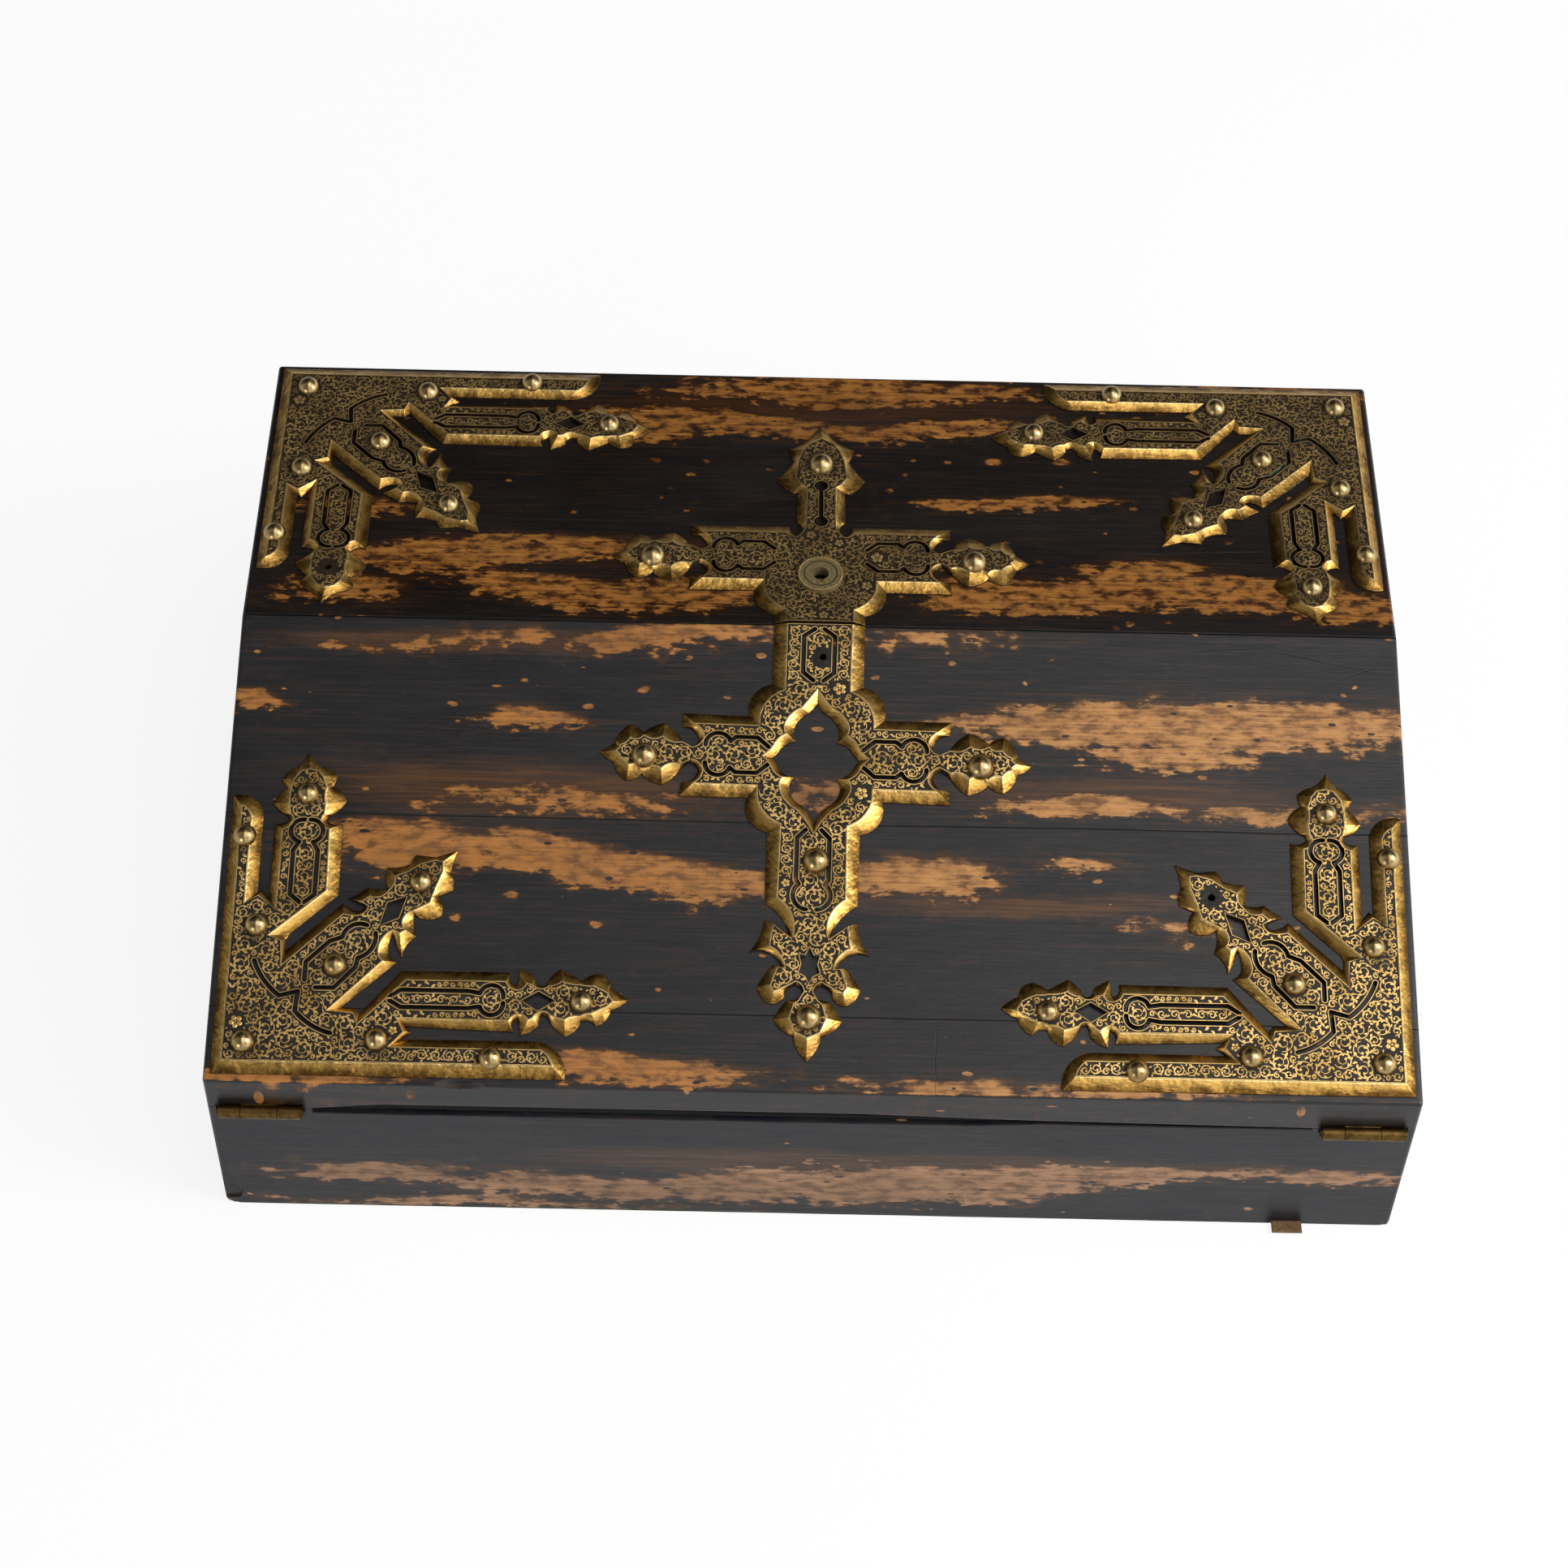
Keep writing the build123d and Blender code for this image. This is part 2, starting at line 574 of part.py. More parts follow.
def screw_hole():
    """Countersunk hole that a screw stands in, on its tip."""
    cone = SCREW_HEAD_RADIUS - SCREW_RADIUS
    sink = Pos(0, 0, -cone / 2) * Cone(SCREW_RADIUS + HOLE_CLEAR, SCREW_HEAD_RADIUS + HOLE_CLEAR, cone)
    mouth = upright(SCREW_HEAD_RADIUS + HOLE_CLEAR, 0, 0, 0, 1)
    return sink + mouth + upright(SCREW_RADIUS + HOLE_CLEAR, 0, 0, -SCREW_LENGTH, 0)


# ---------------------------------------------------------------- mounts and their studs


def corner_mount(reach):
    """Corner mount and its stud places, with the upright arm as long as asked."""
    extra = reach - CORNER_TIP
    plate = casting(stretched(CORNER_ROWS, CORNER_ARM, extra))
    up_slot = dict(UP_ARM_SLOT)
    up_slot["stop"] += extra
    up_slot["middle"] += extra
    cuts = [polygon_cut(points) for points in CORNER_DIAMONDS]
    cuts.append(band_cut(CORNER_BRACKET, CORNER_BRACKET_BOWS))
    cuts += [band_cut(points, bows) for points, bows in CORNER_BANDS]
    cuts += keyhole_slots(**SIDE_ARM_SLOT, half=SIDE_ARM_BAND, radius=SIDE_ARM_RING, upright_arm=False)
    cuts += keyhole_slots(**up_slot, half=UP_ARM_BAND, radius=UP_ARM_RING, upright_arm=True)
    return subtract(plate, cuts), shifted(CORNER_STUDS, CORNER_ARM - 1, extra)


def arm_rows(axis):
    """Corners of the right arm of a cross, from below, round its tip, to above."""
    return moved(ARM_ROWS, axis) + moved([ARM_TIP], axis) + moved(upper_arm_rows(), axis)


def upper_arm_rows():
    """Upper half of the right arm, which mirrors the lower half."""
    lower = ARM_ROWS + [ARM_TIP]
    upper = flipped(lower, mirror_y=True)
    return upper[1:]


def arm_cuts(axis):
    """Slots in both arms of a cross."""
    cuts = []
    for mirror_y in (1, -1):
        points = [(x, axis + mirror_y * y) for x, y in ARM_SLOT]
        bows = [-mirror_y * bow for bow in ARM_SLOT_BOWS]
        cuts.append(band_cut(points, bows))
        cuts.append(band_cut(mirrored_points(points), [-bow for bow in bows]))
    return cuts


def whole(half):
    """Closed outline from a right half that starts and ends on the middle line or its edges."""
    left = flipped(half, mirror_x=True)
    if half[-1][0] == 0:
        left = left[1:]
    if half[0][0] == 0:
        left = left[:-1]
    return half + left


def long_cross():
    """Cross on the flap, tip at the origin, its length and its stud places, the last one bare."""
    length = FLAP_LENGTH - CROSS_TIP_MARGIN
    extra = length - CROSS_TOP
    axis = CROSS_AXIS + extra
    tail = stretched(LONG_CROSS_ROWS, CROSS_TAIL, extra)
    upper = moved(flipped(moved(LONG_CROSS_ROWS[-1:], -CROSS_AXIS), mirror_y=True), axis)
    joined = tail + arm_rows(axis)
    lobe_bow = LONG_CROSS_ROWS[-1]
    joined[-1] = joined[-1][:2] + (lobe_bow[2],) + joined[-1][3:5] + (lobe_bow[5],)
    shoulder = upper[0][:2] + (0,) + upper[0][3:5] + (0,)
    head = (shoulder[0], length, 0, shoulder[3], length, 0)
    plate = casting(whole(joined + [shoulder, head]))
    cuts = [eye_cut(axis)]
    star = CROSS_STAR + mirrored_points(reversed(CROSS_STAR[1:-1]))
    cuts.append(polygon_cut(star))
    for points, bows in (
        (shifted(CROSS_SHAFT_SLOT, CROSS_TAIL, extra), CROSS_SHAFT_BOWS),
        (shifted(CROSS_HEAD_SLOT, CROSS_TAIL, extra), None),
    ):
        cuts.append(band_cut(points, bows))
        cuts.append(band_cut(mirrored_points(points), bows and [-bow for bow in bows]))
    cuts += arm_cuts(axis)
    studs = CROSS_STUDS + [(x, axis - ARM_STUD_DROP) for x in CROSS_ARM_STUDS]
    studs.append((CROSS_BARE_HOLE[0], CROSS_BARE_HOLE[1] + extra))
    return subtract(plate, cuts), length, studs


def eye_cut(axis):
    """Four-lobed eye of the long cross, with a chamfer that falls to the wood."""
    loop = whole(moved(CROSS_EYE_ROWS, axis))
    return casting(loop, low=-1.0, step=MOUNT_FOOT, high=MOUNT_HEIGHT)


def short_cross():
    """Cross on the lid, with its foot at the join, and its stud places."""
    half = SHORT_CROSS_FOOT_ROWS + arm_rows(SHORT_AXIS)[:-1] + SHORT_CROSS_HEAD_ROWS
    plate = casting(whole(half))
    low, high = SHORT_KEYHOLE_SLOT
    cuts = [round_cut(0, low, SHORT_SLOT_HOLE), round_cut(0, high, SHORT_SLOT_HOLE)]
    cuts.append(band_cut([(0, low), (0, high)]))
    cuts += arm_cuts(SHORT_AXIS)
    cuts.append(round_cut(0, KEYHOLE_Y - JOIN_GAP / 2, ESCUTCHEON_COLLAR))
    studs = [(0, SHORT_STUD_Y)] + [(x, SHORT_AXIS - ARM_STUD_DROP) for x in SHORT_ARM_STUDS]
    return subtract(plate, cuts), studs


def ends_at_join(shape):
    """Part of a flap mount that lies in front of the join."""
    limit = FLAP_LENGTH - JOIN_GAP / 2 / math.cos(SLOPE)
    beyond = block((-WIDTH, limit, -MOUNT_HEIGHT), (WIDTH, limit + WIDTH, 2 * MOUNT_HEIGHT))
    return shape - beyond


# ---------------------------------------------------------------- hinges
# In its own frame a hinge runs along X from the origin; Y points into the box, Z at the upper leaf.

FRONT_HINGE = Plane(
    origin=(0, HINGE_Y, FRONT_HEIGHT),
    x_dir=(1, 0, 0),
    z_dir=(0, -math.sin(SLOPE), math.cos(SLOPE)),
)
BACK_HINGE = Plane(origin=(0, BACK_HINGE_Y, CASE_HEIGHT), x_dir=(-1, 0, 0), z_dir=(0, 0, 1))
RELIEF_RADIUS = KNUCKLE_RADIUS + KNUCKLE_CLEAR
LEAF_END = KNUCKLE_PROUD + LEAF_WIDTH
LEAF_NEAR = LEAF_GAP / 2
LEAF_FAR = LEAF_NEAR + LEAF_THICKNESS


def hinge_starts(inset):
    """Where the two hinges of a pair start along their own X."""
    outer = HALF - inset
    return -outer, outer - HINGE_LENGTH


def hinge_screw_places(side):
    """Screw places in one leaf, heads on the face of the leaf; side 1 upper, -1 lower."""
    turn = Rot(180, 0, 0) if side > 0 else Rot(0, 0, 0)
    middle = HINGE_LENGTH / 2
    y = KNUCKLE_PROUD + SCREW_FROM_FACE
    return [
        Pos(middle + shift, y, side * LEAF_NEAR) * turn
        for shift in (-SCREW_PITCH / 2, SCREW_PITCH / 2)
    ]


def leaf_block(side, start, stop, low, high):
    """Flat piece of one leaf."""
    near, far = sorted((side * LEAF_NEAR, side * LEAF_FAR))
    return block((start, low, near), (stop, high, far))


def hinge_leaf(side):
    """Leaf with its knuckles: the middle one on the upper leaf, the outer two on the lower."""
    first, last = KNUCKLE_ENDS
    if side > 0:
        spans = [(first + KNUCKLE_GAP, HINGE_LENGTH - last - KNUCKLE_GAP)]
    else:
        spans = [(0, first), (HINGE_LENGTH - last, HINGE_LENGTH)]
    leaf = leaf_block(side, 0, HINGE_LENGTH, RELIEF_RADIUS, LEAF_END)
    for start, stop in spans:
        leaf += leaf_block(side, start, stop, 0, RELIEF_RADIUS)
        leaf += rod_x(KNUCKLE_RADIUS, 0, 0, start, stop)
    leaf -= rod_x(PIN_RADIUS + PIN_CLEAR, 0, 0, -1, HINGE_LENGTH + 1)
    return subtract(leaf, [place * screw_hole() for place in hinge_screw_places(side)])


def hinge_pin():
    """Pin with a flat head at each end of the knuckles."""
    pin = rod_x(PIN_RADIUS, 0, 0, 0, HINGE_LENGTH)
    pin += rod_x(PIN_HEAD_RADIUS, 0, 0, -PIN_HEAD_THICKNESS, 0)
    return pin + rod_x(PIN_HEAD_RADIUS, 0, 0, HINGE_LENGTH, HINGE_LENGTH + PIN_HEAD_THICKNESS)


def hinge_seat(side):
    """Wood taken away for one leaf, its screws and the knuckles."""
    low, high = sorted((0, side * LEAF_FAR))
    seat = block((0, 0, low), (HINGE_LENGTH, LEAF_END, high))
    spare = PIN_HEAD_THICKNESS + KNUCKLE_CLEAR
    seat += rod_x(RELIEF_RADIUS, 0, 0, -spare, HINGE_LENGTH + spare)
    for place in hinge_screw_places(side):
        seat += place * screw_hole()
    return seat


def hinge_seats(plane, inset, side):
    """Seats of both hinges of a pair, in one board."""
    return [plane.location * Pos(start, 0, 0) * hinge_seat(side) for start in hinge_starts(inset)]


def hinge_screws(plane, inset, side):
    """Screws of both hinges of a pair, in one board."""
    return [
        plane.location * Pos(start, 0, 0) * place * screw()
        for start in hinge_starts(inset)
        for place in hinge_screw_places(side)
    ]


def keep_hinges(plane, inset, names, upper_name):
    """Leaves and pins of a pair of hinges."""
    for name, start in zip(names, hinge_starts(inset)):
        place = plane.location * Pos(start, 0, 0)
        keep(name + "_case_leaf", place * hinge_leaf(-1))
        keep(name + "_" + upper_name + "_leaf", place * hinge_leaf(1))
        keep(name + "_pin", place * hinge_pin())


# ---------------------------------------------------------------- case

INNER_FRONT = FRONT + WALL
INNER_BACK = BACK - WALL
RIM_DROP = SEAT_GAP / math.cos(SLOPE)


def relief_top():
    """Corners of the edge of the flap over the velvet, from the left."""
    return [(share * RELIEF_HALF, rise * RELIEF_RISE) for share, rise in RELIEF_TOP]


def relief_low():
    """Corners of the edge of the front wall under the velvet, from the right."""
    return [(share * RELIEF_HALF, -drop * RELIEF_DROP) for share, drop in RELIEF_LOW]


def wedge_y(points, start, end):
    """Solid with an XZ outline, from start to end along Y."""
    wire = Wire.make_polygon([(x, start, z) for x, z in points])
    return Solid.extrude(Face(wire), Vector(0, end - start, 0))


def worn_corners():
    """What is broken off the left lower front corner and worn off the right one."""
    start = FRONT - 1
    end = FRONT + CHIP_REACH
    chip = wedge_y([(-HALF - 1, -1), (CHIP_WIDTH - HALF, -1), (-HALF - 1, CHIP_HEIGHT)], start, end)
    corner = block((HALF - WORN_RADIUS, start, -1), (HALF + 1, end, WORN_RADIUS))
    round_bar = Pos(HALF - WORN_RADIUS, FRONT, WORN_RADIUS) * Rot(90, 0, 0)
    corner -= round_bar * Cylinder(WORN_RADIUS, 4 * CHIP_REACH)
    return [chip, corner]


def front_wall():
    """Front wall with its edge cut back for the velvet, a notch for the tab and its wear."""
    profile = [
        (FRONT, BASE_BAIZE),
        (INNER_FRONT, BASE_BAIZE),
        (INNER_FRONT, slope_height(INNER_FRONT) - RIM_DROP),
        (FRONT, slope_height(FRONT) - RIM_DROP),
    ]
    wall = prism_x(profile, -HALF, HALF)
    wall = softened(wall, lambda p: p.Y < FRONT + 1 and abs(p.X) > HALF - 1 and p.Z > BASE_BAIZE + 1)
    relief_end = KNUCKLE_PROUD + RELIEF_DEPTH
    relief = wedge_y(relief_low() + [(-RELIEF_HALF, 1), (RELIEF_HALF, 1)], 0, relief_end)
    notch_half = TAB_WIDTH / 2 + TAB_CLEAR
    notch = block(
        (TAB_X - notch_half, FRONT - 1, BASE_BAIZE - 1),
        (TAB_X + notch_half, FRONT + TAB_TUCK + TAB_CLEAR, BASE_BAIZE + TAB_THICKNESS + TAB_CLEAR),
    )
    patch = [(x - HALF, z) for x, z in PATCH_OUTLINE]
    cuts = [FRONT_HINGE.location * relief, notch, wedge_y(patch, FRONT - 1, FRONT + PATCH_DEPTH)]
    cuts += worn_corners()
    return subtract(wall, cuts + hinge_seats(FRONT_HINGE, HINGE_INSET, -1))


def back_wall():
    """Back wall, whose edge carries the lid's hinges."""
    wall = block((-HALF, INNER_BACK, BASE_BAIZE), (HALF, BACK, CASE_HEIGHT - RIM_DROP))
    wall = softened(wall, lambda p: p.Y > BACK - 1 and abs(p.X) > HALF - 1)
    return subtract(wall, hinge_seats(BACK_HINGE, BACK_HINGE_INSET, -1))


def side_wall():
    """Right wall: its rim slopes under the flap and is level under the lid."""
    profile = [
        (INNER_FRONT, BASE_BAIZE),
        (INNER_BACK, BASE_BAIZE),
        (INNER_BACK, CASE_HEIGHT - RIM_DROP),
        (JOIN, CASE_HEIGHT - RIM_DROP),
        (INNER_FRONT, slope_height(INNER_FRONT) - RIM_DROP),
    ]
    return prism_x(profile, INNER_HALF, HALF)


def velvet_strip():
    """Velvet-covered strip that lies on the cut-back edge of the front wall."""
    half = RELIEF_HALF - VELVET_GAP
    outline = relief_top() + [(x, z + VELVET_GAP) for x, z in relief_low()]
    start = KNUCKLE_PROUD + VELVET_SETBACK
    swing = KNUCKLE_PROUD + RELIEF_DEPTH - VELVET_GAP  # of the inner edge of the flap's relief
    stop = math.sqrt(swing**2 - RELIEF_RISE**2)
    strip = wedge_y(outline, start, stop) & block((-half, start, -RELIEF_DROP), (half, stop, RELIEF_RISE))
    return FRONT_HINGE.location * Pos(0, 0, -VELVET_GAP) * strip


def base_tab():
    """Leather tab that lies on the baize and shows in front of the case."""
    low = (TAB_X - TAB_WIDTH / 2, FRONT - TAB_REACH, BASE_BAIZE)
    high = (TAB_X + TAB_WIDTH / 2, FRONT + TAB_TUCK, BASE_BAIZE + TAB_THICKNESS)
    return block(low, high)


def build_case():
    """Walls, bottom, linings and hinges of the case."""
    keep("front_wall", front_wall())
    keep("back_wall", back_wall())
    keep("right_wall", side_wall())
    keep("left_wall", mirrored(side_wall()))
    keep("bottom_board", block((-INNER_HALF, INNER_FRONT, BASE_BAIZE), (INNER_HALF, INNER_BACK, FLOOR)))
    edge_x = HALF - BAIZE_INSET
    edge_y = BACK - BAIZE_INSET
    baize = block((-edge_x, -edge_y, 0), (edge_x, edge_y, BASE_BAIZE))
    keep("base_baize", subtract(baize, worn_corners()))
    keep("base_tab", base_tab())
    keep("velvet_strip", velvet_strip())
    keep_hinges(FRONT_HINGE, HINGE_INSET, ("front_left_hinge", "front_right_hinge"), "flap")
    keep_hinges(BACK_HINGE, BACK_HINGE_INSET, ("back_right_hinge", "back_left_hinge"), "lid")
    screws = hinge_screws(FRONT_HINGE, HINGE_INSET, -1)
    screws += hinge_screws(BACK_HINGE, BACK_HINGE_INSET, -1)
    keep("case_hinge_screws", Compound(children=screws))


# ---------------------------------------------------------------- flap

CORNER_X = HALF - MOUNT_INSET
FLAP_REACH = FLAP_LENGTH - MOUNT_INSET - FLAP_CORNER_MARGIN
LID_REACH = LID_DEPTH - MOUNT_INSET - LID_CORNER_MARGIN
FLAP_CORNER = FLAP_FACE.location * Pos(-CORNER_X, MOUNT_INSET, 0)
LID_CORNER = LID_FACE.location * Pos(CORNER_X, LID_DEPTH - MOUNT_INSET, 0) * Rot(0, 0, 180)
BOLT_Z = CASE_HEIGHT + LOCK_HEIGHT / 2
BOLT_HOLE_HALF = BOLT_WIDTH / 2 + BOLT_CLEAR
BOLT_HOLE_RISE = BOLT_HEIGHT / 2 + BOLT_CLEAR
STRIKE_HALF = BOLT_WIDTH / 2 + STRIKE_MARGIN


def keep_mount(name, plate, place, studs, radius, bare, reflect):
    """Place a mount with its stud holes; give its studs and the holes for its board."""
    holes = [Pos(x, y, 0) * stud_hole() for x, y in studs]
    pins = [Pos(x, y, 0) * stud(radius) for i, (x, y) in enumerate(studs) if i not in bare]
    solids = [place * part for part in [subtract(plate, holes)] + pins]
    placed_holes = [place * hole for hole in holes]
    if reflect:
        solids = [mirrored(part) for part in solids]
        placed_holes = [mirrored(hole) for hole in placed_holes]
    keep(name, solids[0])
    return solids[1:], placed_holes


def strike_plate():
    """Plate let into the rear edge of the flap, with a hole for the bolt."""
    edge = JOIN - JOIN_GAP / 2
    rise = BOLT_HOLE_RISE + STRIKE_LIP
    plate = block(
        (-STRIKE_HALF, edge - STRIKE_THICKNESS, BOLT_Z - rise),
        (STRIKE_HALF, edge, BOLT_Z + rise),
    )
    return plate


def strike_pocket():
    """Hole behind the strike plate that takes the thrown bolt."""
    deep = JOIN_GAP / 2 + BOLT_TRAVEL + STRIKE_BACK
    return block(
        (-BOLT_HOLE_HALF, JOIN - deep, BOLT_Z - BOLT_HOLE_RISE),
        (BOLT_HOLE_HALF, JOIN, BOLT_Z + BOLT_HOLE_RISE),
    )


def strike_screw_places():
    """Screw places in the strike plate, one each side of the bolt's hole."""
    x = (BOLT_HOLE_HALF + STRIKE_HALF) / 2
    return [Pos(side * x, JOIN - JOIN_GAP / 2, BOLT_Z) * Rot(-90, 0, 0) for side in (-1, 1)]


def arris_nick():
    """Ball that takes a shallow nick out of the flap's front arris."""
    out = (NICK_RADIUS - NICK_DEPTH) / math.sqrt(2)
    arris = slope_height(FRONT) + BOARD
    return Pos(NICK_FROM_SIDE - HALF, FRONT - out, arris + out) * Sphere(NICK_RADIUS)


def flap_wood():
    """Sloping board with upright ends, cut back under its front edge for the velvet."""
    edge = JOIN - JOIN_GAP / 2
    profile = [
        (FRONT, slope_height(FRONT)),
        (edge, slope_height(edge)),
        (edge, slope_height(edge) + BOARD),
        (FRONT, slope_height(FRONT) + BOARD),
    ]
    board = prism_x(profile, -HALF, HALF)
    board = softened(board, lambda p: p.Y < edge - 1 and p.Z > slope_height(p.Y) + 1)
    outline = relief_top() + [(RELIEF_HALF, -1), (-RELIEF_HALF, -1)]
    relief = wedge_y(outline, 0, KNUCKLE_PROUD + RELIEF_DEPTH)
    cuts = [FRONT_HINGE.location * relief, strike_plate(), strike_pocket(), arris_nick()]
    cuts += [place * screw_hole() for place in strike_screw_places()]
    return subtract(board, cuts + hinge_seats(FRONT_HINGE, HINGE_INSET, 1))


def build_flap():
    """Sloping flap with its mounts, studs, writing pad and fittings."""
    corner, corner_studs = corner_mount(FLAP_REACH)
    left = keep_mount("flap_left_mount", corner, FLAP_CORNER, corner_studs, DOME_RADIUS, (), False)
    right = keep_mount(
        "flap_right_mount", corner, FLAP_CORNER, corner_studs, DOME_RADIUS, (DIAGONAL_STUD,), True
    )
    cross, length, studs = long_cross()
    lean = Pos(0, FLAP_LENGTH, 0) * Rot(0, 0, -CROSS_LEAN) * Pos(0, -length, 0)
    cross = lean.inverse() * ends_at_join(lean * cross)
    bare = (len(studs) - 1,)
    middle = keep_mount(
        "flap_cross_mount", cross, FLAP_FACE.location * lean, studs, CROSS_DOME_RADIUS, bare, False
    )
    keep("flap_studs", Compound(children=left[0] + right[0] + middle[0]))
    board = subtract(flap_wood(), left[1] + right[1] + middle[1])
    keep("flap_board", board)
    pad_half = HALF - PAD_MARGIN
    pad_end = (SLOPE_RUN - PAD_MARGIN) / math.cos(SLOPE)
    pad_start = KNUCKLE_PROUD + PAD_MARGIN
    pad = block((-pad_half, pad_start, -PAD_THICKNESS), (pad_half, pad_end, 0))
    keep("writing_pad", FRONT_HINGE.location * pad)
    plate = subtract(strike_plate(), [strike_pocket()])
    plate = subtract(plate, [place * screw_hole() for place in strike_screw_places()])
    keep("strike_plate", plate)
    keep("strike_screws", Compound(children=[place * screw() for place in strike_screw_places()]))
    keep("flap_hinge_screws", Compound(children=hinge_screws(FRONT_HINGE, HINGE_INSET, 1)))


# ---------------------------------------------------------------- lid and lock

LOCK_FRONT = JOIN + JOIN_GAP / 2
LOCK_HALF = LOCK_WIDTH / 2
LOCK_TOP = CASE_HEIGHT + LOCK_HEIGHT
COVER_TOP = CASE_HEIGHT + LOCK_WALL


def keyhole(low, high):
    """Keyhole with its bit slot towards the front."""
    y = JOIN + KEYHOLE_Y
    slot = block((-KEY_SLOT_WIDTH / 2, y - KEY_SLOT_REACH, low), (KEY_SLOT_WIDTH / 2, y, high))
    return upright(KEYHOLE_RADIUS, 0, y, low, high) + slot


def lock_screw_places():
    """Screw places in the lip of the lock's cover, heads down."""
    x = LOCK_HALF + LOCK_LIP / 2
    turn = Rot(180, 0, 0)
    return [
        Pos(side * x, JOIN + y, CASE_HEIGHT) * turn for side in (-1, 1) for y in LOCK_SCREW_PLACES
    ]


def lock_case():
    """Open box of the lock, with the bolt's hole in its front and the keyhole in its top."""
    low = (-LOCK_HALF, LOCK_FRONT, COVER_TOP)
    high = (LOCK_HALF, LOCK_FRONT + LOCK_DEPTH, LOCK_TOP)
    hollow_low = (low[0] + LOCK_WALL, low[1] + LOCK_WALL, COVER_TOP - 1)
    hollow_high = (high[0] - LOCK_WALL, high[1] - LOCK_WALL, LOCK_TOP - LOCK_WALL)
    bolt_hole = block(
        (-BOLT_HOLE_HALF, LOCK_FRONT - 1, BOLT_Z - BOLT_HOLE_RISE),
        (BOLT_HOLE_HALF, LOCK_FRONT + LOCK_WALL + 1, BOLT_Z + BOLT_HOLE_RISE),
    )
    hollow = block(hollow_low, hollow_high)
    return subtract(block(low, high), [hollow, bolt_hole, keyhole(COVER_TOP, LOCK_TOP + 1)])


def lock_cover():
    """Cover of the lock with its lip and the post that a hollow key turns on."""
    low = (-LOCK_HALF - LOCK_LIP, LOCK_FRONT, CASE_HEIGHT)
    high = (LOCK_HALF + LOCK_LIP, LOCK_FRONT + LOCK_DEPTH + LOCK_LIP, COVER_TOP)
    plate = subtract(block(low, high), [place * screw_hole() for place in lock_screw_places()])
    return plate + upright(KEY_POST_RADIUS, 0, JOIN + KEYHOLE_Y, COVER_TOP, TOP)


def lid_wood():
    """Level board of the lid with the lock's recess."""
    board = block((-HALF, LOCK_FRONT, CASE_HEIGHT), (HALF, BACK, TOP))
    board = softened(board, lambda p: p.Y > LOCK_FRONT + 1 and p.Z > CASE_HEIGHT + 1)
    body = block((-LOCK_HALF, LOCK_FRONT, CASE_HEIGHT), (LOCK_HALF, LOCK_FRONT + LOCK_DEPTH, LOCK_TOP))
    lip_low = (-LOCK_HALF - LOCK_LIP, LOCK_FRONT, CASE_HEIGHT)
    lip_high = (LOCK_HALF + LOCK_LIP, LOCK_FRONT + LOCK_DEPTH + LOCK_LIP, COVER_TOP)
    cuts = [body, block(lip_low, lip_high), keyhole(CASE_HEIGHT, TOP + 1)]
    cuts += [place * screw_hole() for place in lock_screw_places()]
    return subtract(board, cuts + hinge_seats(BACK_HINGE, BACK_HINGE_INSET, 1))


def escutcheon():
    """Round keyhole plate whose collar goes through the cross."""
    y = JOIN + KEYHOLE_Y
    face = TOP + MOUNT_HEIGHT
    plate = upright(ESCUTCHEON_RADIUS, 0, y, face, face + ESCUTCHEON_HEIGHT)
    plate += upright(ESCUTCHEON_COLLAR - HOLE_CLEAR, 0, y, TOP, face)
    return plate - keyhole(TOP - 1, face + ESCUTCHEON_HEIGHT + 1)


def lid_lining():
    """Padded lining under the lid, cut out round the lock."""
    half = HALF - LID_PAD_MARGIN
    low = CASE_HEIGHT - LID_PAD_THICKNESS
    lining = block((-half, JOIN + LID_PAD_MARGIN, low), (half, BACK - LID_PAD_MARGIN, CASE_HEIGHT))
    notch_half = LOCK_HALF + LOCK_LIP + LOCK_MARGIN
    notch_end = LOCK_FRONT + LOCK_DEPTH + LOCK_LIP + LOCK_MARGIN
    return lining - block((-notch_half, JOIN, low - 1), (notch_half, notch_end, CASE_HEIGHT + 1))


def lock_bolt():
    """Bolt of the lock, drawn back inside the edge of the lid."""
    start = LOCK_FRONT + BOLT_CLEAR
    low = (-BOLT_WIDTH / 2, start, BOLT_Z - BOLT_HEIGHT / 2)
    return block(low, (BOLT_WIDTH / 2, start + BOLT_LENGTH, BOLT_Z + BOLT_HEIGHT / 2))


def build_lid():
    """Level lid with its mounts, studs, lining, lock and escutcheon."""
    corner, corner_studs = corner_mount(LID_REACH)
    right = keep_mount("lid_right_mount", corner, LID_CORNER, corner_studs, DOME_RADIUS, (), False)
    left = keep_mount(
        "lid_left_mount", corner, LID_CORNER, corner_studs, DOME_RADIUS, (UP_TIP_STUD,), True
    )
    cross, cross_studs = short_cross()
    place = LID_FACE.location * Pos(0, JOIN_GAP / 2, 0)
    middle = keep_mount("lid_cross_mount", cross, place, cross_studs, CROSS_DOME_RADIUS, (), False)
    keep("lid_studs", Compound(children=right[0] + left[0] + middle[0]))
    keep("lid_board", subtract(lid_wood(), right[1] + left[1] + middle[1]))
    keep("lid_lining", lid_lining())
    keep("escutcheon", escutcheon())
    keep("lock_case", lock_case())
    keep("lock_cover", lock_cover())
    keep("lock_screws", Compound(children=[place * screw() for place in lock_screw_places()]))
    keep("lock_bolt", lock_bolt())
    keep("lid_hinge_screws", Compound(children=hinge_screws(BACK_HINGE, BACK_HINGE_INSET, 1)))


# ---------------------------------------------------------------- writing fittings

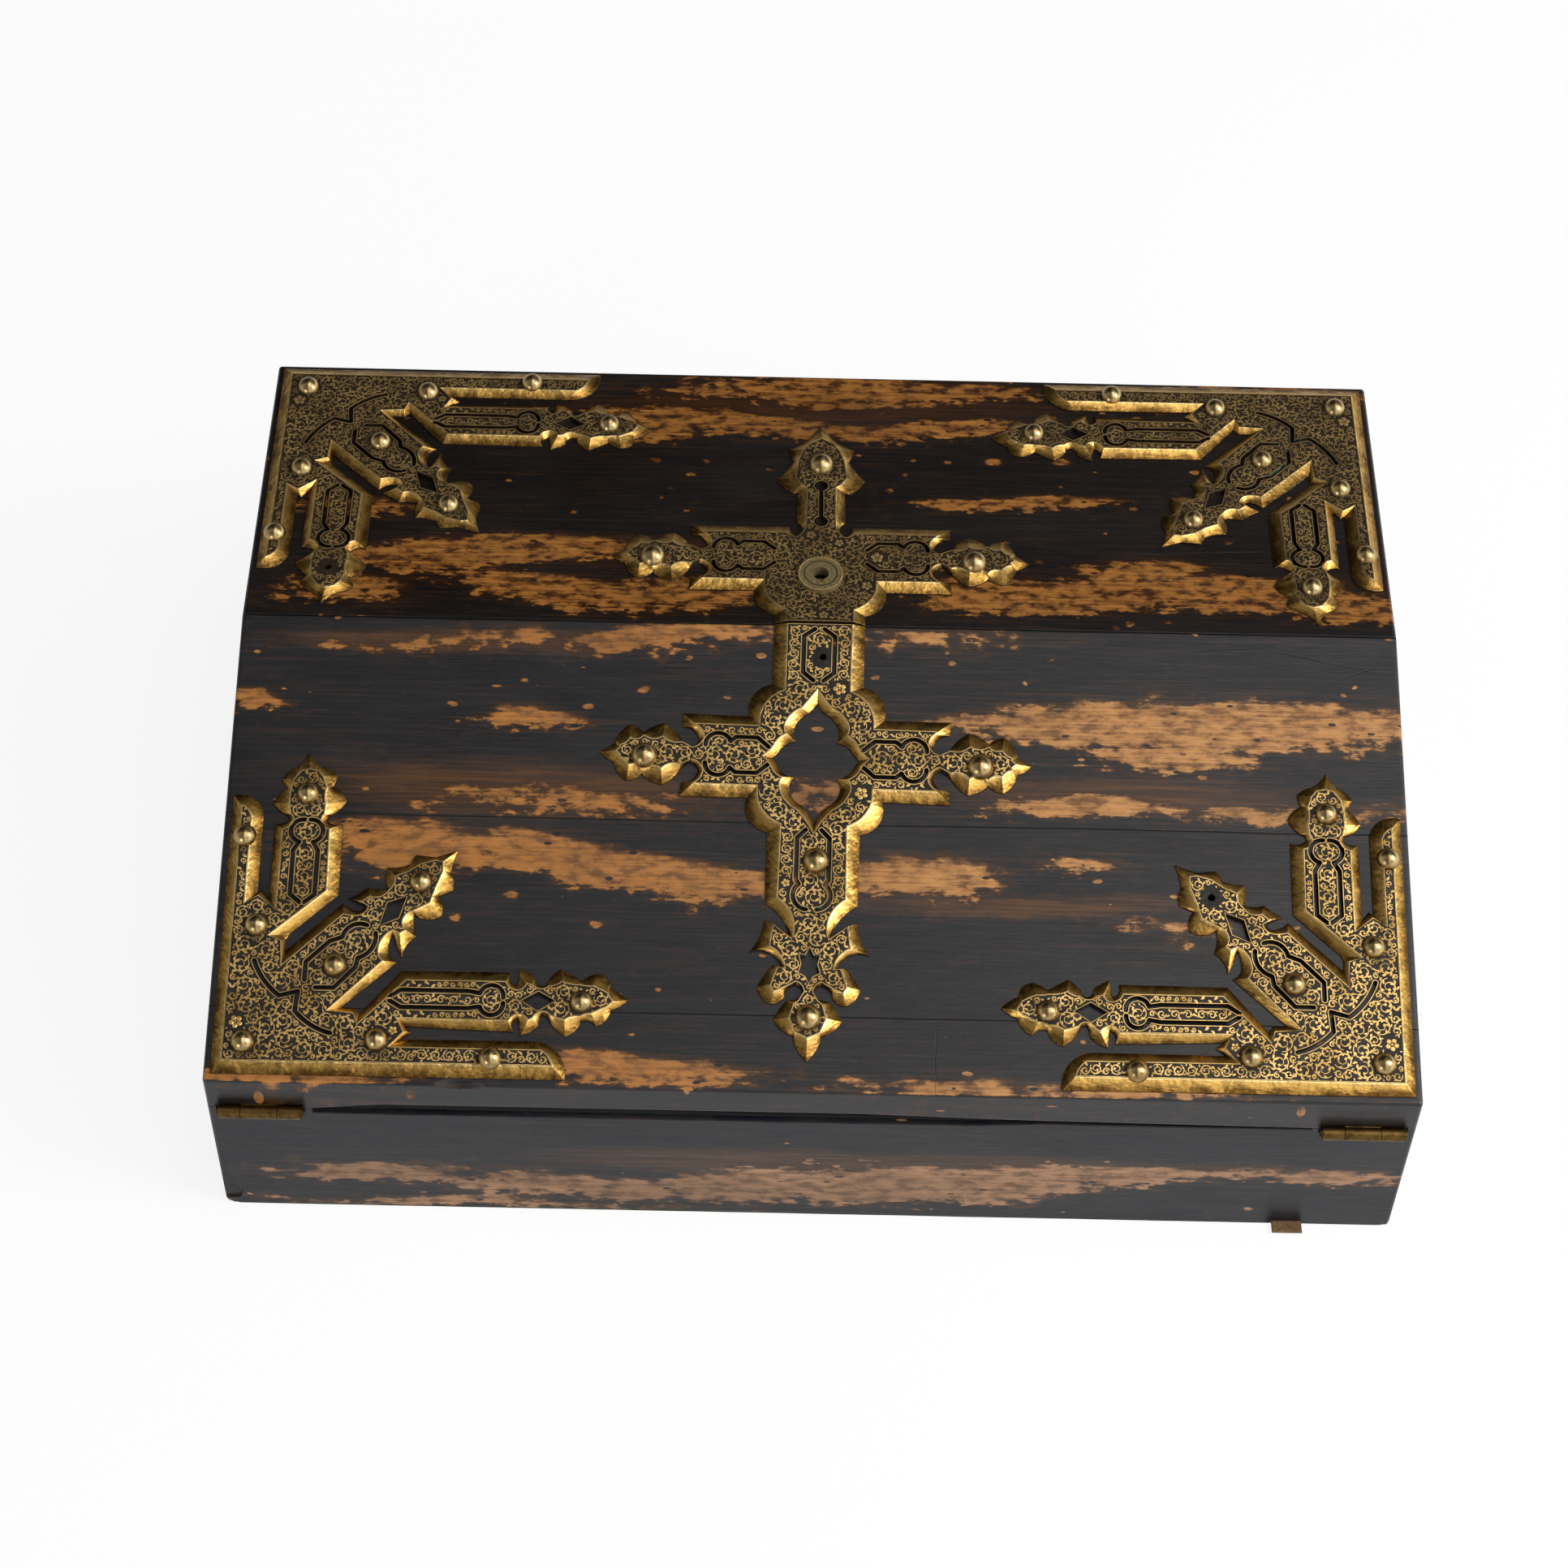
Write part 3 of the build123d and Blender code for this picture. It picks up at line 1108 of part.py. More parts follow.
RACK_END = INNER_BACK - FIT_GAP
RACK_START = RACK_END - RACK_DEPTH
RACK_HALF = INNER_HALF - FIT_GAP
RACK_PITCH = RACK_DEPTH / len(RACK_TOPS)
STAND_END = RACK_START - FIT_GAP
STAND_MIDDLE = STAND_END - STAND_DEPTH / 2
STAND_TOP = FLOOR + STAND_HEIGHT
WELL_X = RACK_HALF - STAND_WALL - WELL / 2
WELL_FLOOR = FLOOR + STAND_FLOOR
GLASS_TOP = WELL_FLOOR + INK_HEIGHT
COLLAR_TOP = GLASS_TOP + COLLAR_HEIGHT
CAP_AXIS_Y = STAND_MIDDLE + COLLAR_RADIUS + CAP_LUG_CLEAR + CAP_LUG_RADIUS
CAP_AXIS_Z = COLLAR_TOP + CAP_GAP / 2


def divider_start(number):
    """Front face of a divider."""
    return RACK_START + DIVIDER + number * RACK_PITCH


def rack_divider(number):
    """Upright divider with a notch for the fingers."""
    top = RACK_TOPS[number]
    half = RACK_HALF - CHEEK + GROOVE - GROOVE_CLEAR
    start = divider_start(number)
    board = block((-half, start, FLOOR), (half, start + DIVIDER, top))
    notch = Pos(0, start, top + NOTCH_RISE) * Rot(90, 0, 0) * Cylinder(NOTCH_RADIUS, 4 * DIVIDER)
    return board - notch


def rack_cheek():
    """Right side of the letter rack, with a groove for each divider."""
    profile = [
        (RACK_START, FLOOR),
        (RACK_END, FLOOR),
        (RACK_END, RACK_TOPS[-1]),
        (divider_start(len(RACK_TOPS) - 1), RACK_TOPS[-1]),
        (RACK_START + 2 * DIVIDER, RACK_TOPS[0]),
        (RACK_START, RACK_TOPS[0]),
    ]
    inner = RACK_HALF - CHEEK
    grooves = [
        block(
            (inner - 1, divider_start(i) - GROOVE_CLEAR, FLOOR - 1),
            (inner + GROOVE, divider_start(i) + DIVIDER + GROOVE_CLEAR, CASE_HEIGHT),
        )
        for i in range(len(RACK_TOPS))
    ]
    return subtract(prism_x(profile, inner, RACK_HALF), grooves)


def pen_stand():
    """Block with a rounded trough for pens between two square wells."""
    body = block((-RACK_HALF, STAND_END - STAND_DEPTH, FLOOR), (RACK_HALF, STAND_END, STAND_TOP))
    radius = ((WELL / 2) ** 2 + TRAY_FALL**2) / (2 * TRAY_FALL)
    tray_half = WELL_X - WELL / 2 - STAND_WALL
    trough = rod_x(radius, STAND_MIDDLE, STAND_TOP + radius - TRAY_FALL, -tray_half, tray_half)
    well_low = (WELL_X - WELL / 2, STAND_MIDDLE - WELL / 2, WELL_FLOOR)
    well_high = (WELL_X + WELL / 2, STAND_MIDDLE + WELL / 2, STAND_TOP + 1)
    well = block(well_low, well_high)
    return subtract(body, [trough, well, mirrored(well)])


def inkwell():
    """Square glass well with cut edges and a round bore."""
    low = (WELL_X - INK_SIDE / 2, STAND_MIDDLE - INK_SIDE / 2, WELL_FLOOR)
    high = (WELL_X + INK_SIDE / 2, STAND_MIDDLE + INK_SIDE / 2, GLASS_TOP)
    glass = block(low, high)
    edges = [edge for edge in glass.edges() if (edge @ 0.5).Z > WELL_FLOOR + 1]
    glass = chamfer(edges, INK_EDGE)
    return glass - upright(NECK_RADIUS, WELL_X, STAND_MIDDLE, WELL_FLOOR + INK_FLOOR, GLASS_TOP + 1)


def inkwell_collar():
    """Brass collar on the glass, with two lugs and the pin of the cap."""
    collar = upright(COLLAR_RADIUS, WELL_X, STAND_MIDDLE, GLASS_TOP, COLLAR_TOP)
    near = CAP_LUG_WIDTH / 2 + CAP_LUG_GAP
    far = near + CAP_LUG_WIDTH
    web_start = STAND_MIDDLE + COLLAR_RADIUS - CAP_LUG_WIDTH
    for low, high in ((-far, -near), (near, far)):
        collar += rod_x(CAP_LUG_RADIUS, CAP_AXIS_Y, CAP_AXIS_Z, WELL_X + low, WELL_X + high)
        web_low = (WELL_X + low, web_start, CAP_AXIS_Z - CAP_LUG_RADIUS)
        collar += block(web_low, (WELL_X + high, CAP_AXIS_Y, COLLAR_TOP))
    collar += rod_x(CAP_PIN_RADIUS, CAP_AXIS_Y, CAP_AXIS_Z, WELL_X - far, WELL_X + far)
    return collar - upright(NECK_RADIUS, WELL_X, STAND_MIDDLE, GLASS_TOP - 1, COLLAR_TOP + 1)


def ink_cap():
    """Hinged cap with its lug on the collar's pin."""
    low = COLLAR_TOP + CAP_GAP
    cap = upright(COLLAR_RADIUS, WELL_X, STAND_MIDDLE, low, low + CAP_HEIGHT)
    rim = [edge for edge in cap.edges().filter_by(GeomType.CIRCLE) if edge.arc_center.Z > low + 1]
    cap = fillet(rim, CAP_EDGE)
    cap -= upright(COLLAR_RADIUS - CAP_WALL, WELL_X, STAND_MIDDLE, low - 1, low + CAP_HEIGHT - CAP_WALL)
    half = CAP_LUG_WIDTH / 2
    web_start = STAND_MIDDLE + COLLAR_RADIUS - CAP_WALL
    web_high = (WELL_X + half, CAP_AXIS_Y, CAP_AXIS_Z + CAP_LUG_RADIUS)
    cap += block((WELL_X - half, web_start, low), web_high)
    cap += rod_x(CAP_LUG_RADIUS, CAP_AXIS_Y, CAP_AXIS_Z, WELL_X - half, WELL_X + half)
    hole = rod_x(CAP_PIN_RADIUS + PIN_CLEAR, CAP_AXIS_Y, CAP_AXIS_Z, WELL_X - half - 1, WELL_X + half + 1)
    return cap - hole


def keep_pair(name, shape):
    """Keep a part of the right side and its mirror image on the left."""
    keep(name.format("right"), shape)
    keep(name.format("left"), mirrored(shape))


def build_fittings():
    """Letter rack, pen stand and inkwells."""
    keep_pair("rack_{}_cheek", rack_cheek())
    for number in range(len(RACK_TOPS)):
        keep(f"rack_divider_{number + 1}", rack_divider(number))
    keep("pen_stand", pen_stand())
    keep_pair("inkwell_{}", inkwell())
    keep_pair("inkwell_{}_collar", inkwell_collar())
    keep_pair("inkwell_{}_cap", ink_cap())


def main():
    """Build every sub-part and write one STEP file for each."""
    build_case()
    build_flap()
    build_lid()
    build_fittings()
    os.makedirs("parts", exist_ok=True)
    for name, shape in NODES.items():
        export_step(shape, f"parts/{name}.step")


if __name__ == "__main__":
    main()
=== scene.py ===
"""Looks of the slope-front stationery box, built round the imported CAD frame.

Row frame: X across the box, Y from front to back, Z up, in metres. Lengths named here are in mm.
"""

import random
from math import atan2, ceil, cos, hypot, pi, radians, sin, sqrt

import bmesh
import bpy
import numpy as np
from mathutils import Matrix, Vector, noise

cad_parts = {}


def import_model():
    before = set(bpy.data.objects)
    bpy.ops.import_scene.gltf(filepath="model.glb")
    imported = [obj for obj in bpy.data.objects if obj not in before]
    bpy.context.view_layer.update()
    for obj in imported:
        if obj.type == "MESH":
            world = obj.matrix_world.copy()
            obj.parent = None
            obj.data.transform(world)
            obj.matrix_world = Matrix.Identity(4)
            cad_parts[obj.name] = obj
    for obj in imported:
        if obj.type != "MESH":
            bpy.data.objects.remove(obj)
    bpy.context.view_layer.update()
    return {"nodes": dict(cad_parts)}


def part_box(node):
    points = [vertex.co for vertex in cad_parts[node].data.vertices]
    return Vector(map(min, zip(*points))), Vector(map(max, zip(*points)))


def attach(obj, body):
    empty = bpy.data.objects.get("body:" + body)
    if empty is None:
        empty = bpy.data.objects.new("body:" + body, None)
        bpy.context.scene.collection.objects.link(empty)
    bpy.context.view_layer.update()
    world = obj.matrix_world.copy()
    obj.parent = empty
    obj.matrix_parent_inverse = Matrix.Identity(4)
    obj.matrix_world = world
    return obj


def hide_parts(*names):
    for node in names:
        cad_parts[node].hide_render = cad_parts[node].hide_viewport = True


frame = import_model()
NODES = frame["nodes"]

MM = 0.001
HALF = 180.0
FRONT = -128.25
JOIN = 18.15
LID_DEPTH = 110.1
FRONT_HEIGHT = 54.0
CASE_HEIGHT = 96.1
BOARD = 13.5
HINGE_Y = FRONT - 1.5
SLOPE = atan2(CASE_HEIGHT - FRONT_HEIGHT, JOIN - HINGE_Y)
COS, SIN = cos(SLOPE), sin(SLOPE)
TOP = CASE_HEIGHT + BOARD
MOUNT_HEIGHT = 2.0
MOUNT_INSET = 2.2
CORNER_X = HALF - MOUNT_INSET
UNDERSIDE_AT_FRONT = FRONT_HEIGHT + (FRONT - HINGE_Y) * SIN / COS
FACES = {
    "flap": ((0, FRONT, UNDERSIDE_AT_FRONT + BOARD), (0, COS, SIN), (0, -SIN, COS)),
    "lid": ((0, JOIN, TOP), (0, 1, 0), (0, 0, 1)),
}
FACES = {face: tuple(Vector(v) for v in vectors) for face, vectors in FACES.items()}


# -------- shader helpers


def times(colour, factor):
    """Colour made darker or lighter."""
    return tuple(factor * c for c in colour)


class Graph:
    """Node graph of a material or world, built from small expressions."""

    def __init__(self, owner):
        owner.use_nodes = True
        self.tree = owner.node_tree
        self.tree.nodes.clear()

    def node(self, kind, inputs=(), **settings):
        """New shader node; inputs is a dict of socket name or number to value or socket."""
        made = self.tree.nodes.new("ShaderNode" + kind)
        for key, value in settings.items():
            setattr(made, key, value)
        for key, value in dict(inputs).items():
            self.feed(made.inputs[key], value)
        return made

    def feed(self, socket, value):
        """Link a socket to an output, or set its value."""
        if isinstance(value, bpy.types.NodeSocket):
            self.tree.links.new(value, socket)
        elif isinstance(value, (tuple, list)) and len(value) == 3 and socket.type == "RGBA":
            socket.default_value = (*value, 1)
        else:
            socket.default_value = value

    def scaled(self, vector, scale, move=(0, 0, 0), turn=(0, 0, 0)):
        """Vector times a scale, turned, then moved."""
        values = {"Vector": vector, "Scale": scale, "Location": move, "Rotation": turn}
        return self.node("Mapping", values).outputs[0]

    def math(self, kind, a, b=0.0, c=0.0):
        """One arithmetic step."""
        return self.node("Math", {0: a, 1: b, 2: c}, operation=kind).outputs[0]

    def product(self, a, b):
        """One number times another."""
        return self.math("MULTIPLY", a, b)

    def line(self, value, slope, start):
        """Value times a slope, and a start."""
        return self.math("MULTIPLY_ADD", value, slope, start)

    def shaken(self, value, wave, amount):
        """Value moved by a wave from 0 to 1, by up to half an amount either way."""
        return self.line(wave, amount, self.math("SUBTRACT", value, amount / 2))

    def vector(self, kind, a, b=(0, 0, 0), c=(0, 0, 0), output="Vector"):
        """One vector step."""
        return self.node("VectorMath", {0: a, 1: b, 2: c}, operation=kind).outputs[output]

    def dot(self, a, b):
        """Share of one vector along another."""
        return self.vector("DOT_PRODUCT", a, tuple(b) if isinstance(b, Vector) else b, output="Value")

    def away(self, vector, x, y, half_x, half_y, tilt=0):
        """Distance in plan from a place, in units of half a length and half a width."""
        local = self.scaled(vector, (1, 1, 1), (-x, -y, 0))
        if tilt:
            local = self.scaled(local, (1, 1, 1), (0, 0, 0), (0, 0, -radians(tilt)))
        local = self.scaled(local, (1 / half_x, 1 / half_y, 1))
        return self.vector("LENGTH", local, output="Value")

    def parts(self, vector):
        """X, Y and Z of a vector."""
        return self.node("SeparateXYZ", {0: vector}).outputs

    def joined(self, x, y, z=0.0):
        """Vector from three numbers."""
        return self.node("CombineXYZ", {0: x, 1: y, 2: z}).outputs[0]

    def noise(self, vector, scale, detail=3.0, rough=0.5, warp=0.0):
        """Smooth noise from 0 to 1, with cells of 1 / scale."""
        values = {"Vector": vector, "Scale": scale, "Detail": detail, "Roughness": rough}
        values["Distortion"] = warp
        return self.node("TexNoise", values).outputs[0]

    def cells(self, vector, scale, output="Distance", feature="F1"):
        """Voronoi cells."""
        values = {"Vector": vector, "Scale": scale}
        return self.node("TexVoronoi", values, feature=feature).outputs[output]

    def smooth(self, value, low, high, to_low=0.0, to_high=1.0):
        """Smooth step between two levels."""
        values = {0: value, 1: low, 2: high, 3: to_low, 4: to_high}
        return self.node("MapRange", values, interpolation_type="SMOOTHSTEP").outputs[0]

    def mix(self, share, a, b):
        """Colour between a and b."""
        made = self.node("Mix", data_type="RGBA")
        self.feed(made.inputs[0], share)
        self.feed(made.inputs[6], a)
        self.feed(made.inputs[7], b)
        return made.outputs[2]

    def ramp(self, value, stops):
        """Brightness from a list of (level, brightness)."""
        made = self.node("ValToRGB", {0: value})
        elements = made.color_ramp.elements
        elements.remove(elements[1])
        for i, (level, grey) in enumerate(stops):
            stop = elements[0] if i == 0 else elements.new(level)
            stop.position = level
            stop.color = (grey, grey, grey, 1)
        return made.outputs[0]

    def close(self, surface, kind="Material"):
        """Link a surface shader to the output."""
        self.tree.links.new(surface.outputs[0], self.node("Output" + kind).inputs[0])

    def bump(self, height, distance, strength=1.0, normal=None):
        """Normal bent by a height in units of distance, mm."""
        values = {"Height": height, "Strength": strength, "Distance": distance * MM}
        if normal is not None:
            values["Normal"] = normal
        return self.node("Bump", values).outputs[0]


class Shader(Graph):
    """Graph of one surface material."""

    def __init__(self, name):
        self.material = bpy.data.materials.new(name)
        super().__init__(self.material)
        place = self.node("TexCoord").outputs
        self.object_mm = self.scaled(place["Object"], (1000, 1000, 1000))
        self.object_normal = place["Normal"]

    def finish(self, colour, rough, metal=0.0, normal=None, **constants):
        """Principled surface; returns the material."""
        values = {"Base Color": colour, "Roughness": rough, "Metallic": metal}
        if normal is not None:
            values["Normal"] = normal
        values.update(constants)
        self.close(self.node("BsdfPrincipled", values))
        return self.material


# -------- wood

# Tan streaks of the coromandel: middle along and across the face, half length and half width, mm,
# tilt in degrees, strength.
STREAKS = {
    "flap": [
        (118, 120, 82, 9.5, 0, 1.15), (110, 109, 26, 5, 0, 0.85), (82, 92, 32, 4.5, 0, 0.8),
        (150, 92, 30, 3, 0, 0.5), (-74, 91, 34, 4.5, 0, 0.45), (-122, 75, 32, 8, -4, 1.0),
        (-62, 70, 50, 7.5, -7, 1.1), (-20, 66, 30, 4, -3, 0.8), (30, 69, 26, 7, 0, 0.85),
        (-110, 146, 36, 3.5, 4, 0.45), (-46, 148, 34, 5, 3, 0.7), (34, 148, 22, 3, 0, 0.3),
        (-88, 118, 18, 3, 0, 0.8), (-176, 122, 12, 3.5, -10, 0.8), (-50, 5, 36, 4, 0, 0.72),
        (38, 2.5, 26, 3, 0, 0.55), (90, 1, 50, 2.5, 0, 0.35), (-150, 1, 30, 3, 0, 0.5),
        (78, 73, 14, 2.5, 0, 0.4), (112, 52, 12, 4, 0, 0.3), (4, 98, 10, 5, 0, 0.55),
    ],
    "lid": [
        (-118, 27, 34, 7, 6, 1.1), (-88, 31, 30, 6.5, 0, 1.1), (-80, 12, 40, 7, -6, 1.0),
        (-36, 13, 22, 8, 0, 1.0), (-150, 12, 20, 7, 0, 0.7), (70, 13, 44, 8.5, 0, 1.2),
        (120, 16, 60, 9, 0, 1.15), (104, 25, 20, 6, 0, 0.95), (170, 10, 24, 6, 0, 0.9),
        (-30, 89, 42, 6, -3, 1.1), (30, 86, 40, 5, 3, 1.1), (10, 104, 64, 7, 0, 0.9),
        (-60, 84, 20, 5, 0, 0.7), (66, 53.5, 36, 3.6, 2, 1.0), (-150, 47, 20, 4, 0, 0.5),
        (150, 104, 40, 5, 0, 0.6),
    ],
    "front": [
        (-132, 21, 34, 5, 0, 0.62), (-84, 16, 26, 7, 0, 0.8), (-56, 14, 20, 7, 0, 0.8),
        (-18, 17, 40, 9, 2, 1.0), (26, 19, 34, 12, 4, 1.05), (58, 21, 34, 9, 3, 1.0),
        (92, 26, 34, 7, 2, 1.0), (150, 27, 34, 6, 0, 0.68), (52, 13, 20, 6, 0, 0.8),
        (-110, 4, 60, 4, 0, 0.4),
    ],
    "side": [
        (-60, 30, 70, 8, 0, 1.0), (40, 22, 60, 7, 2, 1.0), (70, 62, 50, 7, -2, 0.9),
        (-20, 50, 40, 4, 0, 0.8),
    ],
    "back": [
        (-90, 60, 80, 8, 0, 1.0), (70, 34, 90, 9, 2, 1.0), (120, 74, 50, 5, 0, 0.9),
        (-40, 20, 60, 6, 0, 0.8),
    ],
}
# Small oval tan spots: middle along and across, and a size near half their length.
SPOTS = {
    "front": [
        (-172, 6, 1.4), (-167.5, 5, 1.2), (-142.5, 2.2, 1.8), (-132.8, 5.8, 1.2), (-117, 4.4, 2.2),
        (-104, 4.9, 1.7), (-123, 18, 1.1), (-113.5, 14, 1.1), (-69, 2.6, 1.3), (38, 4.4, 1.2),
        (26, 9, 1.2), (56, 6.6, 1.2), (78.7, 4.7, 1.2), (135.5, 8.6, 2.2), (-7, 40, 1.2),
        (122.8, 6, 1.0),
    ],
    "flap": [
        (-91, 131, 2.2), (-99.5, 129, 2.2), (-113, 122.6, 3.0), (-71, 122.8, 2.6), (-54.5, 129, 3.2),
        (-28.6, 127, 2.0), (17, 134, 2.6), (162, 132, 2.0), (166, 135, 2.0), (-173, 126, 4.0),
        (-92, 60, 4.0), (-66, 52, 2.8), (-108, 53, 2.8), (64, 134, 1.6), (-54, 17, 1.8),
    ],
    "lid": [
        (-54, 70, 3.2), (-37.5, 70, 2.2), (-42, 64.5, 2.4), (-49, 58, 1.4), (-43, 48, 2.0),
        (56, 72, 4.4), (12, 74, 2.0), (27, 66, 1.8), (30, 72, 1.6), (-17, 67, 1.6), (78, 73, 5),
        (69, 29, 2.2),
    ],
}
# Brown hazes in the dark wood: middle along and across, half length, half width.
HAZES = {
    "flap": [(-92, 95, 74, 12), (96, 97, 66, 7), (-120, 145, 60, 6), (60, 60, 60, 5)],
    "lid": [(-60, 30, 60, 8), (0, 96, 90, 8)],
    "front": [(20, 30, 120, 8)],
}
# Fine cracks: middle along and across, tilt in degrees, length.
CRACKS = {
    "front": [
        (-83, 45, 95, 8), (67.5, 4.5, 60, 8.6), (122, 14, -57, 27), (92, 8.5, 88, 11),
        (150, 16, 100, 8), (162, 15, 70, 6),
    ],
    "flap": [
        (158, 143, -12, 36), (165, 139, 20, 14), (128, 147, 4, 22), (-150, 60, 2, 30),
        (36, 11.5, 90, 23),
    ],
    "lid": [(120, 34, 3, 40), (-20, 55, -4, 30)],
}
# Coordinates of a face from the row frame: weights of x, y and z along and across the grain, and
# the start of the across one.
LAYOUT = {
    "flap": ((1, 0, 0), (0, 1 / COS, 0), -FRONT / COS),
    "lid": ((1, 0, 0), (0, 1, 0), -JOIN),
    "front": ((1, 0, 0), (0, 0, 1), 0.0),
    "side": ((0, 1, 0), (0, 0, 1), 0.0),
    "back": ((1, 0, 0), (0, 0, 1), 0.0),
}
# Across-grain places between which the worn edges stop short of the join of the flap and the lid.
JOINED = {"flap": (146.0, 142.0), "lid": (6.0, 10.0)}
INWARD = {"flap": (0, SIN, -COS), "lid": (0, 0, -1), "front": (0, 1, 0), "back": (0, -1, 0)}
# Tan, its light fibres, near-black, its brown fibres.
# The cool tint in the near-black of the flap and the front is a painted reflection.
TONES = {
    "flap": (
        (0.2, 0.082, 0.022), (0.45, 0.215, 0.066), (0.0058, 0.0064, 0.0078), (0.03, 0.0165, 0.011),
    ),
    "lid": (
        (0.1, 0.034, 0.0068), (0.31, 0.127, 0.025), (0.0045, 0.0036, 0.0034), (0.024, 0.0105, 0.004),
    ),
    "front": (
        (0.17, 0.085, 0.038), (0.34, 0.18, 0.092), (0.0035, 0.0052, 0.009), (0.024, 0.017, 0.014),
    ),
}
# Darker, warmer fibres of the flap's left half: painted shade.
LEFT_FIBRES_IN_PAINTED_SHADE = (0.36, 0.145, 0.03)
SEAM_BLACK = (0.0005, 0.0005, 0.0005)
CRACK_BLACK = (0.002, 0.002, 0.002)
CRACK_WIDTH = 0.32
DUST = (0.3, 0.3, 0.32)
RED_WOOD = ((0.05, 0.012, 0.007), (0.22, 0.06, 0.035))
MAHOGANY = ((0.085, 0.027, 0.011), (0.19, 0.066, 0.028))


def streak_level(s, face, u, v, wave, ragged, mottle, fibre):
    """Height of the tan figure: tan where above 0, near-black where well below."""
    shift = s.shaken(s.line(wave, 14.0, -7.0), mottle, 7.0)
    bent_u = s.math("ADD", u, s.line(ragged, 30.0, -15.0))
    bent = s.joined(bent_u, s.math("ADD", v, shift))
    field = -1.0
    for x, y, length, width, tilt, strength in STREAKS[face]:
        fall = s.line(s.away(bent, x, y, length, width, tilt), -strength, strength)
        field = s.math("MAXIMUM", field, fall)
    level = s.shaken(field, ragged, 1.6)
    level = s.shaken(level, mottle, 1.1)
    level = s.shaken(level, fibre, 0.4)
    if face == "flap":
        rail = s.smooth(s.parts(s.object_normal)[1], -0.7, -0.95)
        level = s.line(rail, -0.5, level)
    return bent, level


def drops(s, place, part, smallest, low, high):
    """Rounded drops, one in some of the cells of a scaled place: below 0 inside a drop."""
    size = s.parts(s.cells(place, 1.0, "Color"))[part]
    return s.math("SUBTRACT", s.cells(place, 1.0), s.smooth(size, smallest, 1.0, low, high))


def spotted(s, face, level, flat, u, v, depth, ragged, mottle):
    """Level with loose tan spots added, and dark flecks taken out."""
    pore = drops(s, s.scaled(flat, (0.11, 0.2, 0.1)), 0, 0.5, -0.05, 0.17)
    spot = s.product(s.smooth(pore, 0.06, -0.02), s.smooth(level, -1.0, -0.35, 0.06, 0.75))
    loose_u = s.shaken(u, mottle, 5.0)
    loose_v = s.shaken(v, ragged, 5.0)
    sparse = s.scaled(s.joined(loose_u, loose_v, depth), (0.075, 0.13, 0.3))
    lone = drops(s, sparse, 2, 0.45, -0.08, 0.14)
    spot = s.math("MAXIMUM", spot, s.smooth(lone, 0.04, -0.02, 0.0, 0.7))
    loose = s.joined(loose_u, loose_v)
    for x, y, size in SPOTS.get(face, ()):
        away = s.away(loose, x, y, size / 0.95, size / 1.75)
        spot = s.math("MAXIMUM", spot, s.smooth(away, 1.1, 0.3, 0.0, 0.75))
    level = s.math("MAXIMUM", level, s.line(spot, 1.1, -0.55))
    fleck = drops(s, s.scaled(flat, (0.16, 0.36, 0.2)), 1, 0.45, -0.05, 0.22)
    return s.line(s.smooth(fleck, 0.06, -0.04), -0.62, level)


def figure_colour(s, face, level, bent, u, wave, mottle, fibre, grain):
    """Colour of the figured wood before wear."""
    tan, tan_light, dark, dark_light = TONES.get(face, TONES["front"])
    fibres = tan_light
    if face == "flap":
        # Painted shade: the fibres of the flap turn darker and warmer towards its left.
        fibres = s.mix(s.smooth(u, 60.0, -80.0), tan_light, LEFT_FIBRES_IN_PAINTED_SHADE)
    quiet = s.line(fibre, 0.5, s.product(mottle, 0.5))
    pale = s.mix(s.smooth(quiet, 0.4, 0.6), tan, fibres)
    pale = s.mix(s.smooth(wave, 0.45, 0.75, 0.0, 0.45), pale, times(tan, 0.42))
    pale = s.mix(s.smooth(grain, 0.48, 0.72, 0.0, 0.4), pale, times(tan, 0.3))
    burnt = 0.85 if face == "lid" else 0.4
    pale = s.mix(s.smooth(mottle, 0.52, 0.36, 0.0, burnt), pale, times(tan, 0.22))
    streaky = s.product(s.smooth(level, -0.8, -0.1, 0.08, 1.0), s.smooth(fibre, 0.42, 0.68))
    deep = s.mix(streaky, dark, dark_light)
    deep = s.mix(s.smooth(fibre, 0.5, 0.72, 0.0, 0.5), deep, dark_light)
    deep = s.mix(s.smooth(mottle, 0.56, 0.72, 0.0, 0.5), deep, dark_light)
    for x, y, length, width in HAZES.get(face, ()):
        haze = s.smooth(s.away(bent, x, y, length, width), 1.15, 0.25)
        haze = s.product(haze, s.smooth(fibre, 0.36, 0.62, 0.35, 1.0))
        deep = s.mix(haze, deep, times(tan, 0.42))
    colour = s.mix(s.smooth(level, -0.2, 0.1), deep, times(tan, 0.2))
    return s.mix(s.smooth(level, 0.02, 0.26), colour, pale)


